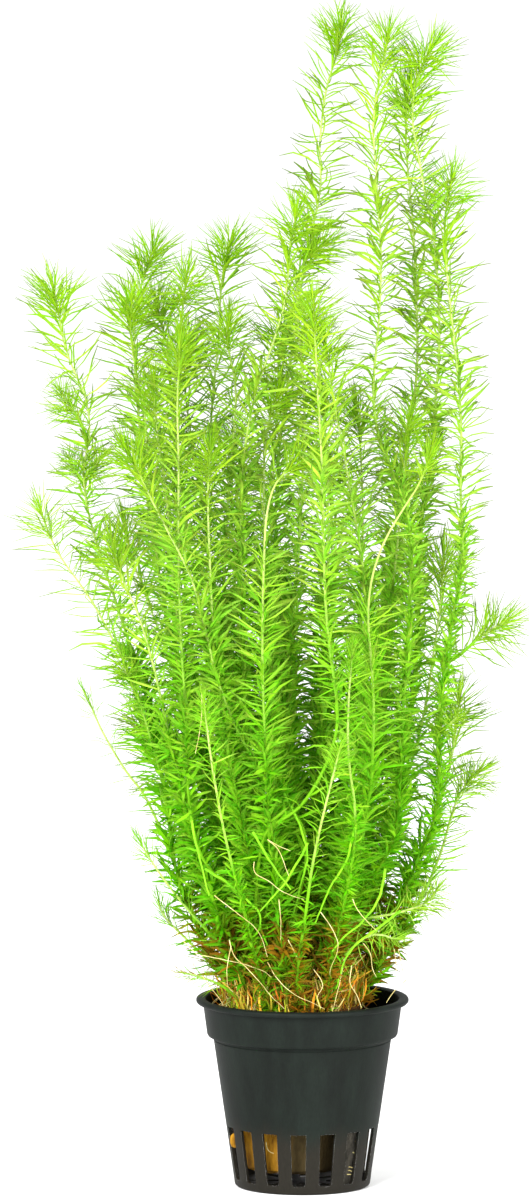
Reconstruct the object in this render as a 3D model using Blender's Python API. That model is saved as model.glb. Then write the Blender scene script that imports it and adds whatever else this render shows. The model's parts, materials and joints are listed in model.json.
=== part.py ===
"""Potted stream bogmoss: a slotted net pot, a plug of rock wool, a mat of old growth, and the leafy shoots.

Metres, +Z up, origin at the centre of the pot's underside, -Y towards the viewer.
A shoot is one solid: a slim stem whose leaves are drawn out of it as spikes, and a denser tuft at its tip.
"""

import math

import bmesh
import bpy
from mathutils import Vector
from mathutils.kdtree import KDTree

MM = 0.001

# Pot, turned about Z, with upright slots in its lower wall
POT_HEIGHT = 49.2 * MM
LIP_RADIUS = 27.5 * MM
LIP_THICKNESS = 1.4 * MM
LIP_EDGE = 0.2 * MM
COLLAR_TOP_RADIUS = 25.8 * MM
COLLAR_FOOT_RADIUS = 24.65 * MM
COLLAR_FOOT_HEIGHT = 39.9 * MM
BODY_TOP_RADIUS = 23.05 * MM
BODY_TOP_HEIGHT = 38.8 * MM
BASE_RADIUS = 17.4 * MM
BASE_EDGE = 0.6 * MM
STEP_EASE = 0.4 * MM
WALL = 0.9 * MM
FLOOR = 1.1 * MM
SLOT_COUNT = 16
SLOT_FOOT = 2.3 * MM
SLOT_TOP = 16.1 * MM
SLOT_FOOT_WIDTH = 3.4 * MM
SLOT_TOP_WIDTH = 4.1 * MM
SLOT_TURN = math.radians(-90 - 3.1)
FLOOR_SLOT_COUNT = 8
FLOOR_SLOT_WIDTH = 2.6 * MM
FLOOR_SLOT_INNER = 6.0 * MM
FLOOR_SLOT_OUTER = 14.5 * MM

# Rock wool plug, a blunt cone that sits towards the left of the pot
PLUG_CENTRE_X = -2.6 * MM
PLUG_FOOT_HEIGHT = 4.2 * MM
PLUG_TOP_HEIGHT = 44.0 * MM
PLUG_FOOT_RADIUS = 12.6 * MM
PLUG_TOP_RADIUS = 18.6 * MM
PLUG_EDGE = 2.0 * MM
PLUG_SIDES = 20

# Mat of dead leaves and roots, a low mound on the plug
MAT_RADIUS = 19.0 * MM
MAT_CREST = 12.5 * MM
MAT_SIDE = 2.5 * MM
MAT_EDGE = 1.4 * MM
MAT_SIDES = 18
MAT_RINGS = 4
MAT_TUFT = 1.6 * MM

GAP = 0.35 * MM

# A stem's foot is never lower than this
LOWEST_FOOT = POT_HEIGHT - 2.0 * MM

# Shoots
STEM_RADIUS = 0.85 * MM
STEM_SPACING = 2.9 * MM
SAMPLE_STEP = 3.0 * MM
CURVE_STEPS = 8
SPREAD_ROUNDS = 60
PUSH_SHARE = 0.5
SIDES = 4
RING_TURN = math.radians(34)
BARE_FOOT = 9.0 * MM
RING_REACH = 6.0 * MM

# A leaf that comes too near another shoot is cut back by this share, tested at these places along it
LEAF_TRIM = 0.85
LEAF_TESTS = (0.25, 0.5, 0.75)

# Leaves drawn out of the rings: how far apart the rings are, the leaf's length and its slant from the stem
SPARSE = (9.0 * MM, 10.2 * MM, math.radians(64))
DENSE = (7.6 * MM, 6.4 * MM, math.radians(54))
SLANT_SWING = math.radians(16)

# The tuft's rings: how far short of the tip each one is, its leaves' length and their slant
TUFT = [(11.0 * MM, 10.0 * MM, math.radians(54)), (8.0 * MM, 8.6 * MM, math.radians(42)),
        (5.0 * MM, 4.8 * MM, math.radians(30))]
TUFT_SHARE = 0.77

# The eye from which the routes were read, over the plane Y = 0
EYE = Vector((-9.8, -1300.0, 220.0)) * MM

# Each shoot: its depth Y in mm at foot, middle and tip, the share of its length, from the foot, that is
# densely leaved, and its route from foot to tip, X and Z in mm as seen from the eye on the plane Y = 0
SHOOTS = {
    "shoot_01": ((6, 12, 8), 0.45, [
        (2, 46), (0, 70), (-2, 95), (-4, 120), (-6, 145), (-7, 170), (-6, 190), (-4, 207), (-2, 222),
        (0, 236), (2.5, 248), (4.5, 258), (4.3, 268), (5, 277), (6.3, 285), (8.5, 292), (9.7, 299),
        (9.9, 306)]),
    "shoot_02": ((-4, -10, -4), 0.6, [
        (7, 46), (10, 62), (14, 75), (19, 82), (23, 89), (25, 98), (25.5, 108), (26, 120), (26.5, 133),
        (27.5, 148), (28.5, 160), (28, 170), (26.5, 179), (23.5, 187), (20.5, 194), (18.7, 202), (18.5, 212),
        (19.6, 224), (20.2, 236), (20.2, 247), (19.4, 257), (19, 266), (18.2, 275), (18.8, 283), (20.5, 292),
        (22, 299), (22.3, 306)]),
    "shoot_03": ((0, 4, -2), 0.62, [
        (10, 46), (13, 60), (17, 75), (21, 90), (24, 105), (27, 120), (29, 135), (30, 150), (30, 162),
        (30.5, 172), (32, 182), (33.3, 192), (34, 203), (35, 215), (35, 228), (34.3, 240), (33, 251),
        (31, 260), (29.6, 269), (28.2, 277), (28.8, 285), (31, 292), (34, 297), (37.5, 301)]),
    "shoot_04": ((10, 18, 8), 0.5, [
        (6, 46), (9, 62), (12, 80), (15, 100), (18, 120), (20, 140), (22, 158), (24, 172), (26, 184),
        (27.3, 195), (28.7, 206), (29.2, 216), (28.9, 228), (28.5, 240), (27.8, 252), (26.8, 262),
        (26.3, 272), (26.6, 281), (27.3, 290)]),
    "shoot_05": ((4, -4, 2), 0.6, [
        (12, 46), (15, 54), (20, 64), (25, 74), (29, 83), (33, 92), (35, 101), (35.4, 112), (35.8, 124),
        (37, 137), (39, 149), (41, 160), (41.4, 170), (40.8, 181), (41, 193), (40.6, 205), (39.4, 217),
        (38, 230), (36.8, 242), (36.6, 252), (38, 260), (39.2, 268)]),
    "shoot_06": ((-10, -16, -4), 0.68, [
        (-4, 46), (-8, 62), (-11, 80), (-13, 100), (-14.5, 120), (-15.5, 140), (-15.8, 162), (-15.8, 180),
        (-14.8, 194), (-12.8, 205), (-10.5, 213), (-7.5, 221), (-5, 229), (-3.7, 238), (-3.2, 246),
        (-1.8, 252), (-0.3, 260)]),
    "shoot_07": ((2, 0, -6), 0.55, [
        (-1, 46), (-2, 65), (-2, 85), (-3, 105), (-4, 125), (-3, 145), (-1, 165), (0, 185), (0.5, 203),
        (-0.5, 218), (-1.5, 230), (-1, 238), (2, 243), (7, 246), (12.5, 248)]),
    "shoot_08": ((8, 22, 10), 0.5, [
        (-7, 46), (-10, 65), (-14, 85), (-18, 105), (-21, 125), (-23, 145), (-24, 165), (-24, 185),
        (-23, 203), (-21.5, 218), (-21, 230), (-20, 238), (-18.7, 244), (-18, 250)]),
    "shoot_09": ((-2, -6, -4), 0.6, [
        (-6, 46), (-9, 65), (-12, 85), (-15, 105), (-18, 125), (-20, 145), (-20, 165), (-19, 182),
        (-17.7, 197), (-17.2, 208), (-18.6, 216), (-19.5, 222), (-18.3, 232)]),
    "shoot_10": ((6, 18, 12), 0.5, [
        (-9, 46), (-13, 62), (-18, 80), (-23, 100), (-28, 120), (-33, 140), (-37, 160), (-40, 180),
        (-42, 200), (-43, 215), (-42.5, 227), (-40.5, 235), (-38.5, 241), (-37, 248)]),
    "shoot_11": ((0, 2, -4), 0.5, [
        (-10, 46), (-15, 62), (-20, 80), (-25, 100), (-30, 120), (-34, 140), (-37, 160), (-39, 178),
        (-40, 193), (-41, 204), (-43, 213), (-44.3, 222), (-44, 230), (-43.5, 237)]),
    "shoot_12": ((12, 28, 10), 0.5, [
        (-8, 46), (-12, 65), (-17, 85), (-22, 105), (-26, 125), (-29, 145), (-31, 165), (-32.5, 185),
        (-33.5, 203), (-34.5, 216), (-37, 226), (-37.5, 235)]),
    "shoot_13": ((3, 10, 2), 0.5, [
        (-5, 46), (-9, 65), (-13, 85), (-17, 105), (-21, 125), (-25, 145), (-29, 165), (-31.5, 183),
        (-32.8, 199), (-32.5, 212), (-31.3, 223), (-30.2, 233), (-29, 243)]),
    "shoot_14": ((-2, -4, -10), 0.5, [
        (-12, 46), (-18, 60), (-24, 76), (-29, 92), (-34, 108), (-39, 124), (-43.5, 138), (-48, 152),
        (-52, 164), (-55.5, 177), (-56.5, 187), (-55, 197), (-56, 206), (-59, 213), (-61.5, 220),
        (-63, 228), (-64.5, 235), (-65.5, 241)]),
    "shoot_15": ((-6, -27, -20), 0.45, [
        (-4, 46), (-4.5, 55), (-3.5, 64), (-1.8, 72), (0, 80), (1.2, 88), (0, 95), (-4, 101), (-9.5, 109.5),
        (-14.5, 116), (-19, 125), (-21.8, 133), (-24.6, 145), (-26.6, 152), (-28.7, 160), (-32.6, 168.5),
        (-36.4, 175.6), (-40.5, 183.6), (-43.4, 190), (-46, 194.5), (-48, 200)]),
    "shoot_16": ((-10, -25, -16), 0.5, [
        (2, 46), (-2, 51), (-6, 54.5), (-9.5, 60), (-11, 67), (-13, 73.5), (-18, 78.5), (-23, 82),
        (-26.5, 87), (-28.7, 95), (-30, 104), (-30.3, 115), (-30.3, 126), (-31.3, 138), (-32, 155),
        (-32.3, 172), (-32.2, 190), (-32.5, 205), (-32, 216), (-31.2, 228)]),
    "shoot_17": ((14, 34, 20), 0.5, [
        (-6, 46), (-9, 70), (-13, 95), (-17, 120), (-21, 145), (-25, 170), (-28, 190), (-30, 205),
        (-28.8, 214), (-26, 222)]),
    "shoot_18": ((-6, -13, -10), 0.55, [
        (-10, 46), (-14, 60), (-18, 78), (-22, 96), (-26, 114), (-30, 132), (-32.5, 150), (-34, 165),
        (-35, 178), (-36.5, 190), (-38, 200), (-38.3, 209), (-38, 217)]),
    "shoot_19": ((-6, -12, -16), 0.55, [
        (-14, 46), (-19, 54), (-25, 63), (-30, 74), (-33, 84), (-34.3, 93), (-35.3, 101), (-37, 109),
        (-39.5, 118), (-42.5, 128), (-46, 137), (-50, 145), (-54, 152.5), (-58, 158.5), (-62, 164),
        (-65, 169.5), (-67.3, 175.5), (-69.3, 184)]),
    "shoot_20": ((2, 8, 14), 0.2, [
        (-13, 46), (-18, 53), (-24, 62), (-30, 75), (-34, 87), (-38, 96), (-41, 102), (-45, 107),
        (-49, 113.5), (-52, 119), (-54.5, 125), (-57, 130), (-59, 134)]),
    "shoot_21": ((-12, -22, -20), 0.6, [
        (-12, 46), (-17, 58), (-22, 72), (-27, 88), (-31, 104), (-35, 120), (-38.5, 136), (-42.5, 150),
        (-46, 158), (-48.5, 165), (-49.8, 170), (-50, 176)]),
    "shoot_22": ((-16, -26, -20), 0.7, [
        (-5, 46), (-8, 60), (-12, 78), (-16, 97), (-19.5, 116), (-22, 135), (-23.5, 152), (-24.2, 168),
        (-24.6, 180), (-24.2, 190), (-22.7, 201)]),
    "shoot_23": ((-18, -30, -24), 0.5, [
        (-3, 46), (-5, 62), (-7, 80), (-8.5, 98), (-9.5, 116), (-10.3, 135), (-10.3, 152), (-9.9, 166),
        (-9.3, 177), (-7.5, 184.5), (-4, 189), (0.5, 191.5), (4, 193.5), (7.5, 197)]),
    "shoot_24": ((-7, -12, -8), 0.75, [
        (0, 46), (-2, 62), (-4, 80), (-6, 100), (-8, 120), (-9, 140), (-9.8, 160), (-10, 178), (-9.8, 192),
        (-8.5, 201), (-6.3, 207), (-5.2, 214.5)]),
    "shoot_25": ((-14, -36, -22), 0.3, [
        (-9, 46), (-11, 58), (-12, 72), (-11.5, 84), (-9.5, 93.5), (-5.5, 97), (-1.5, 99.5), (2.5, 104.5),
        (6, 111), (8.6, 118), (9.6, 124), (9, 131), (7.6, 141), (6.4, 153), (5.9, 166), (5.6, 178),
        (5.3, 190), (4.7, 202), (4, 213), (3.4, 224), (3, 231), (2.7, 239)]),
    "shoot_26": ((-8, -18, -12), 0.65, [
        (4, 46), (6, 62), (9, 80), (12, 98), (14.5, 116), (16.5, 134), (17, 150), (16, 162), (14.4, 172),
        (12.6, 182), (10.8, 193), (8.8, 203), (7.2, 213), (6, 221), (5.7, 229)]),
    "shoot_27": ((4, 8, -4), 0.7, [
        (1, 46), (2, 65), (3, 85), (4, 105), (5, 125), (6, 145), (6.5, 165), (6.5, 183), (5.8, 198),
        (5.6, 205), (5.8, 213)]),
    "shoot_28": ((-2, -2, -8), 0.8, [
        (8, 46), (11, 62), (14, 80), (17, 100), (19.5, 120), (21.5, 140), (23.5, 158), (25, 172),
        (26, 184), (26.5, 194), (27.3, 200), (29.5, 207)]),
    "shoot_29": ((-12, -26, -18), 0.3, [
        (5, 46), (8, 62), (12, 78), (15.5, 92), (17.8, 104), (18.5, 114), (18.8, 126), (18.2, 138),
        (17.3, 150), (18, 159), (20, 166.5), (23, 173), (27, 179.5), (30.5, 185), (32.8, 191), (34, 198)]),
    "shoot_30": ((-2, 6, 10), 0.5, [
        (13, 46), (17, 53), (23, 62), (29, 72), (33, 80), (36, 88), (38, 95.5), (40, 101), (43, 105.5),
        (46.5, 108.5), (51, 111)]),
    "shoot_31": ((-12, -16, -12), 0.6, [
        (1, 46), (2, 56), (6, 64.5), (12, 69), (18, 70.5), (24, 71.5), (29, 73), (33.5, 75), (35.3, 79),
        (36.3, 84)]),
    "shoot_32": ((-14, -19, -16), 0.0, [
        (8, 46), (9.5, 58), (13.5, 63), (18, 66.3), (21.5, 66), (24.5, 64.7), (28, 66), (31.5, 67.8)]),
    "shoot_33": ((-8, -12, -10), 0.5, [
        (-10, 46), (-16, 56), (-24, 66), (-31, 74), (-36, 80.5), (-40, 86.5), (-43, 92), (-45, 97)]),
    "shoot_34": ((8, 14, 16), 0.5, [
        (-14, 46), (-20, 54), (-26, 60), (-31, 65), (-35.5, 69.5), (-37, 74), (-36.3, 80)]),
    "shoot_35": ((-10, -12, -12), 0.5, [
        (-14, 46), (-20, 52), (-25, 54.2), (-29, 55.5), (-34, 56.4), (-38, 57)]),
    "shoot_36": ((14, 34, 26), 0.6, [
        (-2, 46), (-3, 70), (-5, 95), (-7, 120), (-8, 145), (-8, 170), (-7, 192), (-5, 212), (-4, 225)]),
    "shoot_37": ((14, 36, 28), 0.6, [
        (4, 46), (6, 70), (9, 95), (12, 120), (14, 145), (15, 168), (14.5, 188), (13, 205)]),
    "shoot_38": ((12, 30, 26), 0.6, [
        (8, 46), (12, 70), (16, 95), (20, 120), (23, 145), (25, 168), (26, 188)]),
    "shoot_39": ((12, 30, 34), 0.5, [
        (-10, 46), (-15, 70), (-20, 92), (-26, 112), (-32, 130), (-38, 146), (-43, 160), (-46, 174)]),
    "shoot_40": ((16, 42, 38), 0.6, [
        (-4, 46), (-8, 72), (-12, 98), (-15, 124), (-17, 150), (-18, 175), (-17, 196)]),
    "shoot_41": ((10, 26, 30), 0.5, [
        (10, 46), (15, 64), (20, 82), (25, 100), (30, 118), (33, 136), (35, 152), (36, 168)]),
    "shoot_42": ((17, 44, 46), 0.6, [
        (0, 46), (2, 70), (4, 96), (6, 122), (7, 146), (7, 170), (6, 190)]),
    "shoot_43": ((14, 34, 42), 0.5, [
        (-12, 46), (-18, 62), (-25, 78), (-32, 94), (-38, 110), (-43, 126)]),
    "shoot_44": ((16, 40, 50), 0.5, [
        (6, 46), (10, 60), (14, 76), (18, 92), (22, 108), (25, 122)]),
    "shoot_45": ((18, 44, 56), 0.5, [
        (-6, 46), (-9, 62), (-12, 80), (-14, 98), (-16, 114), (-17, 130)]),
    "shoot_46": ((6, 18, 26), 0.5, [
        (14, 46), (19, 60), (25, 74), (31, 88), (36, 102), (39, 118), (40, 132)]),
    "shoot_47": ((-18, -34, -38), 0.7, [
        (-2, 46), (-1, 58), (1, 72), (3, 86), (6, 100), (9, 112), (12, 124)]),
    "shoot_48": ((-16, -32, -34), 0.7, [
        (6, 46), (8, 60), (11, 74), (13.5, 88), (14, 100), (12.5, 112), (12, 124), (13, 138), (14, 150)]),
    "shoot_49": ((-16, -32, -36), 0.7, [
        (-8, 46), (-12, 60), (-16, 76), (-20, 92), (-23, 108), (-25, 122), (-26.5, 136)]),
}

# Each side shoot: the shoot that bears it, the height in mm of its fork, and its route from there, in mm
SIDE_SHOOTS = {
    "side_shoot_01": ("shoot_14", 194, [(-2, -1, 5), (-5, -2.5, 10), (-7.5, -3.5, 14), (-9.5, -4, 19)]),
    "side_shoot_02": ("shoot_14", 184, [(-2, 3, 3.5), (-4, 5, 7), (-5, 6.5, 12)]),
    "side_shoot_03": ("shoot_14", 187, [(2.5, -2, 1.5), (4, -4, 5), (5, -5, 10)]),
    "side_shoot_04": ("shoot_19", 134, [(-1, -3, 1.5), (-2.5, -5, 4), (-4.5, -6, 7)]),
    "side_shoot_05": ("shoot_05", 137, [
        (3, 1, 1.5), (6, 2, 4), (9.5, 3, 7), (13, 3.5, 9), (16.5, 4, 11), (21, 4.5, 13.5)]),
    "side_shoot_06": ("shoot_05", 119, [(2, -2, 2), (4, -3, 4), (7, -4, 8)]),
}


def clear_scene():
    """Remove whatever objects the scene holds."""
    for thing in list(bpy.data.objects):
        bpy.data.objects.remove(thing, do_unlink=True)


def material(name, colour, roughness):
    """A Principled material of one linear colour."""
    made = bpy.data.materials.new(name)
    made.use_nodes = True
    shader = made.node_tree.nodes["Principled BSDF"]
    shader.inputs["Base Color"].default_value = (*colour, 1.0)
    shader.inputs["Roughness"].default_value = roughness
    shader.inputs["Metallic"].default_value = 0.0
    return made


def add_object(name, mesh_data, finish):
    """Put a bmesh in the scene as a named object with its faces pointing out."""
    bmesh.ops.recalc_face_normals(mesh_data, faces=mesh_data.faces[:])
    mesh = bpy.data.meshes.new(name)
    mesh_data.to_mesh(mesh)
    mesh_data.free()
    if finish:
        mesh.materials.append(finish)
    made = bpy.data.objects.new(name, mesh)
    bpy.context.scene.collection.objects.link(made)
    return made


def ring(mesh_data, radius, height, angles):
    """A level ring of vertices about Z, one at each angle."""
    return [mesh_data.verts.new((radius * math.cos(a), radius * math.sin(a), height)) for a in angles]


def slot_angles(width, radius):
    """Both edges of each slot and the middle of each rib, round the pot."""
    pitch = math.tau / SLOT_COUNT
    half = 0.5 * width / radius
    angles = []
    for slot in range(SLOT_COUNT):
        middle = SLOT_TURN + slot * pitch
        angles += [middle - half, middle + half, middle + pitch / 2]
    return angles


def wall_radius(height):
    """The outer radius of the tapered basket at a height."""
    return BASE_RADIUS + (BODY_TOP_RADIUS - BASE_RADIUS) * height / BODY_TOP_HEIGHT


def pot_rings(mesh_data):
    """The pot's rings: those up its outside, from the edge of the underside, and those down its inside."""
    slot_width = (SLOT_FOOT_WIDTH + SLOT_TOP_WIDTH) / 2
    lip_foot = POT_HEIGHT - LIP_THICKNESS
    outer = [(BASE_RADIUS - BASE_EDGE, 0.0, slot_width),
             (wall_radius(SLOT_FOOT), SLOT_FOOT, SLOT_FOOT_WIDTH),
             (wall_radius(SLOT_TOP), SLOT_TOP, SLOT_TOP_WIDTH),
             (BODY_TOP_RADIUS, BODY_TOP_HEIGHT, slot_width),
             (COLLAR_FOOT_RADIUS, COLLAR_FOOT_HEIGHT, slot_width),
             (COLLAR_TOP_RADIUS, lip_foot, slot_width),
             (LIP_RADIUS, lip_foot + LIP_EDGE, slot_width),
             (LIP_RADIUS, POT_HEIGHT, slot_width)]
    inner = [(COLLAR_TOP_RADIUS - WALL, POT_HEIGHT, slot_width),
             (COLLAR_FOOT_RADIUS - WALL, COLLAR_FOOT_HEIGHT + STEP_EASE, slot_width),
             (BODY_TOP_RADIUS - WALL, BODY_TOP_HEIGHT - STEP_EASE, slot_width),
             (wall_radius(SLOT_TOP) - WALL, SLOT_TOP, SLOT_TOP_WIDTH),
             (wall_radius(SLOT_FOOT) - WALL, SLOT_FOOT, SLOT_FOOT_WIDTH),
             (wall_radius(FLOOR) - WALL, FLOOR, slot_width)]
    return [[ring(mesh_data, r, z, slot_angles(w, r)) for r, z, w in side] for side in (outer, inner)]


def build_pot(finish):
    """The net pot: the turned wall with its upright slots, and a floor with slots cut through it."""
    mesh_data = bmesh.new()
    outer, inner = pot_rings(mesh_data)
    out_foot, out_top, in_top, in_foot = outer[1], outer[2], inner[3], inner[4]
    rings = outer + inner
    count = len(out_foot)
    for low, high in zip(rings, rings[1:]):
        slotted = low is out_foot or low is in_top
        for i in range(count):
            if not slotted or i % 3:
                j = (i + 1) % count
                mesh_data.faces.new((low[i], low[j], high[j], high[i]))
    for i in range(0, count, 3):
        j = i + 1
        mesh_data.faces.new((out_foot[i], out_foot[j], in_foot[j], in_foot[i]))
        mesh_data.faces.new((out_top[i], out_top[j], in_top[j], in_top[i]))
        for edge in (i, j):
            mesh_data.faces.new((out_foot[edge], out_top[edge], in_top[edge], in_foot[edge]))
    mesh_data.faces.new(rings[0])
    mesh_data.faces.new(rings[-1])
    pot = add_object("pot", mesh_data, finish)
    cut = pot.modifiers.new("floor_slots", "BOOLEAN")
    cut.operation = "DIFFERENCE"
    cut.solver = "EXACT"
    cut.object = floor_slot_cutter()
    return pot


def floor_slot_cutter():
    """The blocks that cut the floor's slots, laid out like a star."""
    mesh_data = bmesh.new()
    for slot in range(FLOOR_SLOT_COUNT):
        angle = SLOT_TURN + slot * math.tau / FLOOR_SLOT_COUNT
        along = Vector((math.cos(angle), math.sin(angle), 0))
        across = Vector((-along.y, along.x, 0)) * FLOOR_SLOT_WIDTH / 2
        corners = []
        for height in (-FLOOR, 2 * FLOOR):
            for reach, side in ((FLOOR_SLOT_INNER, -1), (FLOOR_SLOT_OUTER, -1),
                                (FLOOR_SLOT_OUTER, 1), (FLOOR_SLOT_INNER, 1)):
                place = along * reach + across * side
                corners.append(mesh_data.verts.new((place.x, place.y, height)))
        bottom, top = corners[:4], corners[4:]
        mesh_data.faces.new(bottom[::-1])
        mesh_data.faces.new(top)
        for i in range(4):
            j = (i + 1) % 4
            mesh_data.faces.new((bottom[i], bottom[j], top[j], top[i]))
    cutter = add_object("floor_slot_cutter", mesh_data, None)
    cutter.hide_render = True
    cutter.display_type = "WIRE"
    return cutter


def mat_height(x, y):
    """The height of the mat's upper surface, a low dome over the plug."""
    reach = math.hypot(x - PLUG_CENTRE_X, y) / MAT_RADIUS
    return PLUG_TOP_HEIGHT + GAP + MAT_SIDE + MAT_CREST * max(0.0, 1 - reach * reach)


def disc_angles(sides):
    """Even angles round a circle."""
    return [math.tau * i / sides for i in range(sides)]


def lathe(mesh_data, profile, sides):
    """Closed body turned from (radius, height) pairs, about the plug's axis."""
    rings = []
    for radius, height in profile:
        verts = ring(mesh_data, radius, height, disc_angles(sides))
        bmesh.ops.translate(mesh_data, verts=verts, vec=(PLUG_CENTRE_X, 0, 0))
        rings.append(verts)
    for low, high in zip(rings, rings[1:]):
        for i in range(sides):
            j = (i + 1) % sides
            mesh_data.faces.new((low[i], low[j], high[j], high[i]))
    mesh_data.faces.new(rings[0])
    mesh_data.faces.new(rings[-1])
    return rings


def build_plug(finish):
    """The rock wool plug: a blunt cone, free of the pot's wall on its right."""
    mesh_data = bmesh.new()
    lathe(mesh_data, [
        (PLUG_FOOT_RADIUS - PLUG_EDGE, PLUG_FOOT_HEIGHT), (PLUG_FOOT_RADIUS, PLUG_FOOT_HEIGHT + PLUG_EDGE),
        (PLUG_TOP_RADIUS, PLUG_TOP_HEIGHT - PLUG_EDGE), (PLUG_TOP_RADIUS - PLUG_EDGE / 2, PLUG_TOP_HEIGHT),
    ], PLUG_SIDES)
    return add_object("rock_wool_plug", mesh_data, finish)


def build_mat(finish):
    """The mat of old leaves and roots: a flat-bottomed mound with a tousled top."""
    mesh_data = bmesh.new()
    foot = PLUG_TOP_HEIGHT + GAP
    profile = [(MAT_RADIUS - MAT_EDGE, foot), (MAT_RADIUS, foot + MAT_EDGE)]
    for step in range(MAT_RINGS):
        radius = MAT_RADIUS * (1 - (step + 0.5) / (MAT_RINGS + 0.5))
        profile.append((radius, mat_height(PLUG_CENTRE_X + radius, 0) - MAT_TUFT))
    rings = lathe(mesh_data, profile, MAT_SIDES)
    for level, verts in enumerate(rings[2:]):
        for vert in verts[level % 2::2]:
            vert.co.z += MAT_TUFT
    return add_object("root_mat", mesh_data, finish)


def read_route(depth, points):
    """The control points in metres, each pushed along its sight line to its depth."""
    foot, middle, tip = depth
    travelled = [0.0]
    for a, b in zip(points, points[1:]):
        travelled.append(travelled[-1] + math.dist(a, b))
    route = []
    for (x, z), at in zip(points, travelled):
        t = at / travelled[-1]
        y = foot * (1 - t) * (1 - 2 * t) + 4 * middle * t * (1 - t) + tip * t * (2 * t - 1)
        seen = Vector((x, 0, z)) * MM
        route.append(EYE + (seen - EYE) * (1 - y * MM / EYE.y))
    return route


def smooth(route, step):
    """A Catmull-Rom curve through the points, as points an even step apart."""
    ends = [route[0] * 2 - route[1]] + route + [route[-1] * 2 - route[-2]]
    fine = []
    for a, b, c, d in zip(ends, ends[1:], ends[2:], ends[3:]):
        for i in range(CURVE_STEPS):
            t = i / CURVE_STEPS
            fine.append((b * 2 + (c - a) * t + (a * 2 - b * 5 + c * 4 - d) * t * t
                         + (b * 3 - a - c * 3 + d) * t ** 3) / 2)
    fine.append(route[-1].copy())
    return resample(fine, step)


def resample(fine, step):
    """Points about a step apart along a line of closer points."""
    travelled = [0.0]
    for a, b in zip(fine, fine[1:]):
        travelled.append(travelled[-1] + (b - a).length)
    count = max(4, round(travelled[-1] / step))
    points, at = [], 0
    for i in range(count + 1):
        goal = travelled[-1] * i / count
        while at < len(fine) - 2 and travelled[at + 1] < goal:
            at += 1
        share = (goal - travelled[at]) / max(travelled[at + 1] - travelled[at], 1e-9)
        points.append(fine[at].lerp(fine[at + 1], min(max(share, 0.0), 1.0)))
    return points


def spread(routes):
    """Push stems that come too near each other apart sideways, a little at a time."""
    owners = [name for name, route in routes.items() for _ in route]
    for _ in range(SPREAD_ROUNDS):
        points = [p for route in routes.values() for p in route]
        tree = KDTree(len(points))
        for i, p in enumerate(points):
            tree.insert(p, i)
        tree.balance()
        for name, route in routes.items():
            moves = []
            for p in route:
                move = Vector((0, 0, 0))
                for near, j, distance in tree.find_range(p, STEM_SPACING):
                    if owners[j] != name:
                        away = p - near
                        away.z = 0
                        move += away.normalized() * (STEM_SPACING - distance) * PUSH_SHARE
                moves.append(move)
            for _ in range(2):
                moves = [(moves[max(i - 1, 0)] + m * 2 + moves[min(i + 1, len(moves) - 1)]) / 4
                         for i, m in enumerate(moves)]
            routes[name] = [p + m for p, m in zip(route, moves)]
    return routes


def place_at(route, distance):
    """The point and the direction of a route at a distance from its foot."""
    step = (route[1] - route[0]).length
    at = min(int(distance / step), len(route) - 2)
    point = route[at].lerp(route[at + 1], distance / step - at)
    before, after = route[max(at - 1, 0)], route[min(at + 2, len(route) - 1)]
    return point, (after - before).normalized()


def route_length(route):
    """The length of a route."""
    return sum((b - a).length for a, b in zip(route, route[1:]))


def ring_plan(length, dense_share):
    """Each ring of a shoot as (distance from the foot, leaf length, slant)."""
    plan, at = [(0.0, 0.0, 0.0)], 0.0
    squeeze = min(1.0, TUFT_SHARE * length / TUFT[0][0])
    while True:
        spacing, leaf, slant = DENSE if at < dense_share * length else SPARSE
        at += spacing
        if at > length - squeeze * TUFT[0][0] - spacing / 2:
            break
        plan.append((at, leaf if at > BARE_FOOT else 0.0, slant))
    plan += [(length - squeeze * short, leaf, slant) for short, leaf, slant in TUFT]
    return plan


def leaf_tip(root, out, along, leaf, slant, others):
    """The tip of a leaf drawn from a ring, shortened until its faces keep clear of the other shoots."""
    reach = leaf
    while reach > STEM_RADIUS:
        tip = root + (out * math.sin(slant) + along * math.cos(slant)) * reach
        height = reach * math.sin(slant)
        tests = [(tip, height)]
        for share in LEAF_TESTS:
            tests += [(tip.lerp(root + along * step, share), height * (1 - share))
                      for step in (-RING_REACH, 0, RING_REACH)]
        if all(others.find(point)[2] > above + STEM_RADIUS + 2 * GAP for point, above in tests):
            return tip
        reach *= LEAF_TRIM
    return root + out * GAP


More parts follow.
